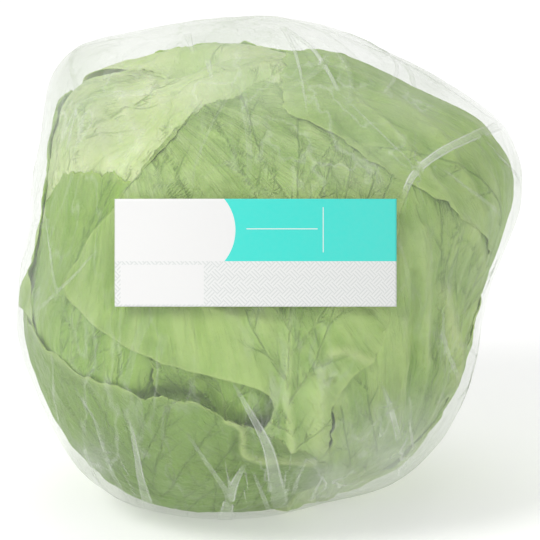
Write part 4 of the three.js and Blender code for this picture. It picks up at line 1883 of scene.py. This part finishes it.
@dataclass
class Studio:
    """Plain pale floor, soft lights and the camera."""

    head: Head
    distance: float = 8.0
    field_width: float = 189.5 * MM
    sensor: float = 36.0

    def make(self) -> None:
        """Sets up everything round the object."""
        self._floor()
        self._lights()
        self._camera()
        bpy.context.scene.view_settings.view_transform = "Standard"

    def _floor(self) -> None:
        """A wide pale floor."""
        reach = 6.0
        corners = np.array(
            [[-reach, -reach, 0], [reach, -reach, 0], [reach, reach, 0], [-reach, reach, 0]], float
        )
        floor = make_mesh("floor", corners, np.array([[0, 1, 2, 3]]))
        material, tree, shader = new_material("pale_floor")
        shader.inputs["Base Color"].default_value = (0.70, 0.70, 0.70, 1)
        shader.inputs["Emission Color"].default_value = (1, 1, 1, 1)
        shader.inputs["Emission Strength"].default_value = 0.42
        shader.inputs["Roughness"].default_value = 0.9
        shader.inputs["Specular IOR Level"].default_value = 0.1
        floor.data.materials.append(material)

    def _lights(self) -> None:
        """An even white surround with a soft key from the upper left."""
        world = bpy.data.worlds.new("surround")
        world.use_nodes = True
        world.node_tree.nodes["Background"].inputs[0].default_value = (1, 1, 1, 1)
        world.node_tree.nodes["Background"].inputs[1].default_value = 0.46
        bpy.context.scene.world = world
        for name, place, size, power in (
            ("key", (-1.2, -1.0, 1.6), 0.8, 27.0),
            ("fill", (1.4, -1.3, 0.6), 1.2, 5.0),
            ("top", (0.1, 0.5, 1.8), 1.2, 9.0),
        ):
            lamp = bpy.data.lights.new(name, "AREA")
            lamp.size = size
            lamp.energy = power
            light = bpy.data.objects.new(name, lamp)
            light.location = place
            aim = Vector(self.head.centre) - light.location
            light.rotation_euler = aim.to_track_quat("-Z", "Y").to_euler()
            bpy.context.scene.collection.objects.link(light)

    def _camera(self) -> None:
        """A long lens, square to the labelled side."""
        lens = bpy.data.cameras.new("camera")
        lens.sensor_width = self.sensor
        lens.lens = self.sensor * self.distance / self.field_width
        lens.clip_start, lens.clip_end = 0.05, 60
        camera = bpy.data.objects.new("camera", lens)
        place = Vector(self.head.centre + self.distance * self.head.front)
        camera.location = place
        camera.rotation_euler = (Vector(self.head.centre) - place).to_track_quat("-Z", "Y").to_euler()
        bpy.context.scene.collection.objects.link(camera)
        bpy.context.scene.camera = camera


# ---- The head --------------------------------------------------------------------------


def leaf_finishes() -> dict[Tone, bpy.types.Material]:
    """One material for each tone of leaf."""
    # Each tone gives blade, deep, light, rib and edge colours; the edge colour is a lighter green that paints
    # a highlight along the margin.
    finishes = {
        Tone.OUTER: LeafFinish(
            "outer_leaf", (0.41, 0.61, 0.15, 1), (
                0.23, 0.40, 0.065, 1
            ), (0.49, 0.67, 0.23, 1), (0.60, 0.74, 0.30, 1), (0.52, 0.70, 0.22, 1)
        ),
        Tone.UNDER: LeafFinish(
            "under_leaf", (0.33, 0.54, 0.09, 1), (
                0.20, 0.38, 0.045, 1
            ), (0.40, 0.60, 0.14, 1), (0.52, 0.68, 0.22, 1), (0.48, 0.68, 0.15, 1)
        ),
        Tone.PALE: LeafFinish(
            "pale_leaf", (
                0.72, 0.88, 0.40, 1
            ), (0.50, 0.72, 0.22, 1), (0.80, 0.91, 0.50, 1), (0.85, 0.92, 0.60, 1), (0.68, 0.84, 0.32, 1)
        ),
        Tone.HEART: LeafFinish(
            "heart_leaf", (
                0.74, 0.82, 0.44, 1
            ), (0.60, 0.72, 0.30, 1), (0.78, 0.84, 0.50, 1), (0.84, 0.88, 0.60, 1), (0.64, 0.78, 0.32, 1)
        ),
    }
    return {tone: finish.material() for tone, finish in finishes.items()}


def film_creases() -> tuple[Crease, ...]:
    """The creases that show on the labelled side, each with a width at its first place and another at its
    last.
    """
    return (
        Crease(((81, 51), (61, 42), (49, 32), (46, 19), (45, 7)), 2.0, 0.5, 1.6, 0.8),
        Crease(((75, 45), (82, 38), (88, 31)), 0.4, 0.8, 0.6, 0.5),
        Crease(((4, 85), (9.5, 73), (13, 54)), 0.9, 0.3, 0.5, 0.5),
        Crease(((4, 85), (16, 75), (24, 62)), 0.9, 0.7, 0.9, 0.75),
        Crease(((24, 62), (39, 47), (54, 32)), 0.4, 0.3, 0.4, 0.35),
        Crease(((10, 87), (45, 73), (80, 52)), 0.6, 0.9, 0.5, 0.4),
        Crease(((-29, 83), (-27, 76)), 1.4, 0.6, 0.6, 0.4),
        Crease(((-22, 74), (-20, 66)), 1.2, 0.4, 0.5, 0.35),
        Crease(((-66, 60), (-69, 50), (-71, 41)), 0.5, 0.9, 0.5, 0.4),
        Crease(((-81, 32), (-77, 10), (-74, -10)), 0.4, 0.8, 0.6, 0.4),
        Crease(((-81, -14), (-70, -4), (-60, 7)), 0.8, 0.3, 0.7, 0.4),
        Crease(((-68, -41), (-62, -50), (-59, -59), (-56, -69), (-49, -83)), 0.4, 1.4, 0.8, 0.5),
        Crease(((-49, -52), (-47, -61), (-45, -73), (-42, -84)), 0.3, 2.3, 0.9, 0.65),
        Crease(((-29, -57), (-22, -67), (-16, -76), (-14, -81)), 0.5, 1.3, 0.6, 0.4),
        Crease(((-13, -39), (-7, -49), (-1, -61), (2, -74), (4, -83)), 0.3, 3.4, 1.0, 0.6),
        Crease(((-9, -68), (-13, -76), (-16, -88)), 0.6, 2.6, 0.9, 0.7),
        Crease(((-6, -70), (-3, -77), (0, -85)), 0.4, 1.0, 0.6, 0.45),
        Crease(((13, -66), (10, -72), (8, -78)), 0.3, 0.9, 0.5, 0.4),
        Crease(((19, -71), (16, -76), (14, -81)), 0.3, 0.8, 0.5, 0.4),
        Crease(((-76, -29), (-75, -46), (-74, -57)), 0.5, 0.9, 0.5, 0.35),
        Crease(((39, -40), (42, -48), (45, -60)), 0.5, 1.3, 0.6, 0.4),
        Crease(((60, -13), (61, -25), (66, -39)), 0.7, 1.1, 0.8, 0.45),
        Crease(((48, -52), (49, -57), (50, -63)), 0.4, 0.7, 0.5, 0.4),
        Crease(((60, 35), (70, 28), (81, 19)), 0.4, 0.7, 0.5, 0.35),
    )


def milky_patches() -> tuple[MilkyPatch, ...]:
    """Where the film is crumpled and cloudy on the labelled side, partly as a painted sheen."""
    return (
        MilkyPatch(45, -68, 22, 0.2),
        MilkyPatch(24, -76, 14, 0.18),
        MilkyPatch(-65, -70, 9, 0.2),
        MilkyPatch(-74, 64, 26, 0.13),
        MilkyPatch(-14, 84, 34, 0.13),
        MilkyPatch(50, 72, 34, 0.1),
        MilkyPatch(72, 20, 34, 0.06),
        MilkyPatch(40, 40, 30, 0.05),
        MilkyPatch(68, -54, 15, 0.12),
        MilkyPatch(-84, -10, 20, 0.08),
    )


def hollows() -> tuple[Hollow, ...]:
    """Places where the leaves fall away from the wrap."""
    return (
        Hollow(-38, -47, 9, 3.5, "under_leaf_front"),
        Hollow(-27, -52, 15, 6.5, "under_leaf_front"),
        Hollow(-3, -60, 8, 5.5, "under_leaf_front"),
        Hollow(25, -53, 5, 4.0, "under_leaf_front"),
        Hollow(4, 52, 9, 2.5, "wrapper_leaf_front"),
    )


def ridges() -> tuple[Ridge, ...]:
    """Folds, ribs and grooves that show through the wrap on the labelled side."""
    front, right = "wrapper_leaf_front", "wrapper_leaf_right"
    upper, pale, low = "wrapper_leaf_upper_right", "pale_leaf_upper_left", "wrapper_leaf_lower_left"
    return (
        Ridge(low, ((-15, -52), (-9.5, -55), (-8.5, -64), (3, -66), (15, -66)), 1.3, 1.6, 0.8),
        Ridge(low, ((-12, -57), (-12, -66)), 1.2, -1.2),
        Ridge(front, ((21, -29), (26, -28), (36, -32)), 1.6, 1.4, 0.8),
        Ridge(front, ((18, -36), (17, -46), (16, -61)), 3.2, 1.8, 0.6),
        Ridge(front, ((12, -36), (17, -36.5), (22, -38)), 0.8, -1.8),
        Ridge(front, ((-2, 58), (9, 48), (21, 36), (26, 29)), 1.0, -1.6),
        Ridge(front, ((0, 61), (12, 51), (23, 39), (28, 31)), 1.5, 1.2, 0.3),
        Ridge(front, ((-14, 42), (-6, 40)), 0.8, -0.9),
        Ridge(front, ((14, -20), (-12, -16), (-40, -2)), 1.6, 0.9, 0.15),
        Ridge(front, ((16, -30), (6, -24), (-10, -19)), 1.3, 0.9, 0.2),
        Ridge(upper, ((18, 37), (25.5, 29)), 0.9, 0.9, 0.8),
        Ridge(upper, ((40, 62), (58, 46), (74, 20)), 2.0, 1.6, 0.3),
        Ridge(upper, ((30, 58), (44, 46), (60, 26), (68, 8)), 1.5, 1.6, 0.35),
        Ridge(upper, ((24, 52), (38, 40), (50, 24)), 1.3, -1.8),
        Ridge(right, ((60, -7), (62, -17), (65, -28), (64, -40)), 2.6, 1.8, 0.85),
        Ridge(right, ((53, 14), (54, -10), (53, -32)), 1.9, 1.8, 0.35),
        Ridge(right, ((46, -17), (46, -39), (44, -56)), 1.6, 1.6, 0.3),
        Ridge(right, ((50, 0), (50, -22), (48, -45)), 1.2, -1.8),
        Ridge(right, ((70, 17), (74, -3), (72, -25)), 2.0, 1.6, 0.45),
        Ridge(right, ((38, -34), (37, -48), (33, -66)), 1.5, 1.0, 0.15),
        Ridge(pale, ((-61, 56), (-54, 33)), 1.6, 1.0, 0.5),
        Ridge(pale, ((-53, 63), (-42, 37)), 1.5, 1.0, 0.5),
        Ridge(pale, ((-42, 67), (-32, 46)), 1.6, 1.0, 0.4),
        Ridge(pale, ((-70, 48), (-62, 22)), 1.4, 0.9, 0.4),
    )


def main() -> None:
    """Builds the wrapped head, its label and the studio."""
    logging.basicConfig(level=logging.INFO, format="%(message)s")
    Effects.build()
    head = Head()
    label = Label(head)
    film = FilmWrap(head, film_creases(), milky_patches())
    wrap = film.make(FilmFinish().material(), label)
    paper = label.make(PaperFinish().material(label))
    finishes = leaf_finishes()
    outer = [leaf.name for leaf in leaves() if leaf.tone is not Tone.HEART]
    skin = Skin(head, outer)
    maker = LeafMaker(head, hollows(), ridges(), finishes, LeafRelief.build(), skin, over=[film.inside])
    for leaf in leaves():
        maker.make(leaf)
    Heart(head).make_bud(finishes[Tone.HEART])
    Stem(head).make(StemFinish().material())
    Studio(head).make()


if __name__ == "__main__":
    main()
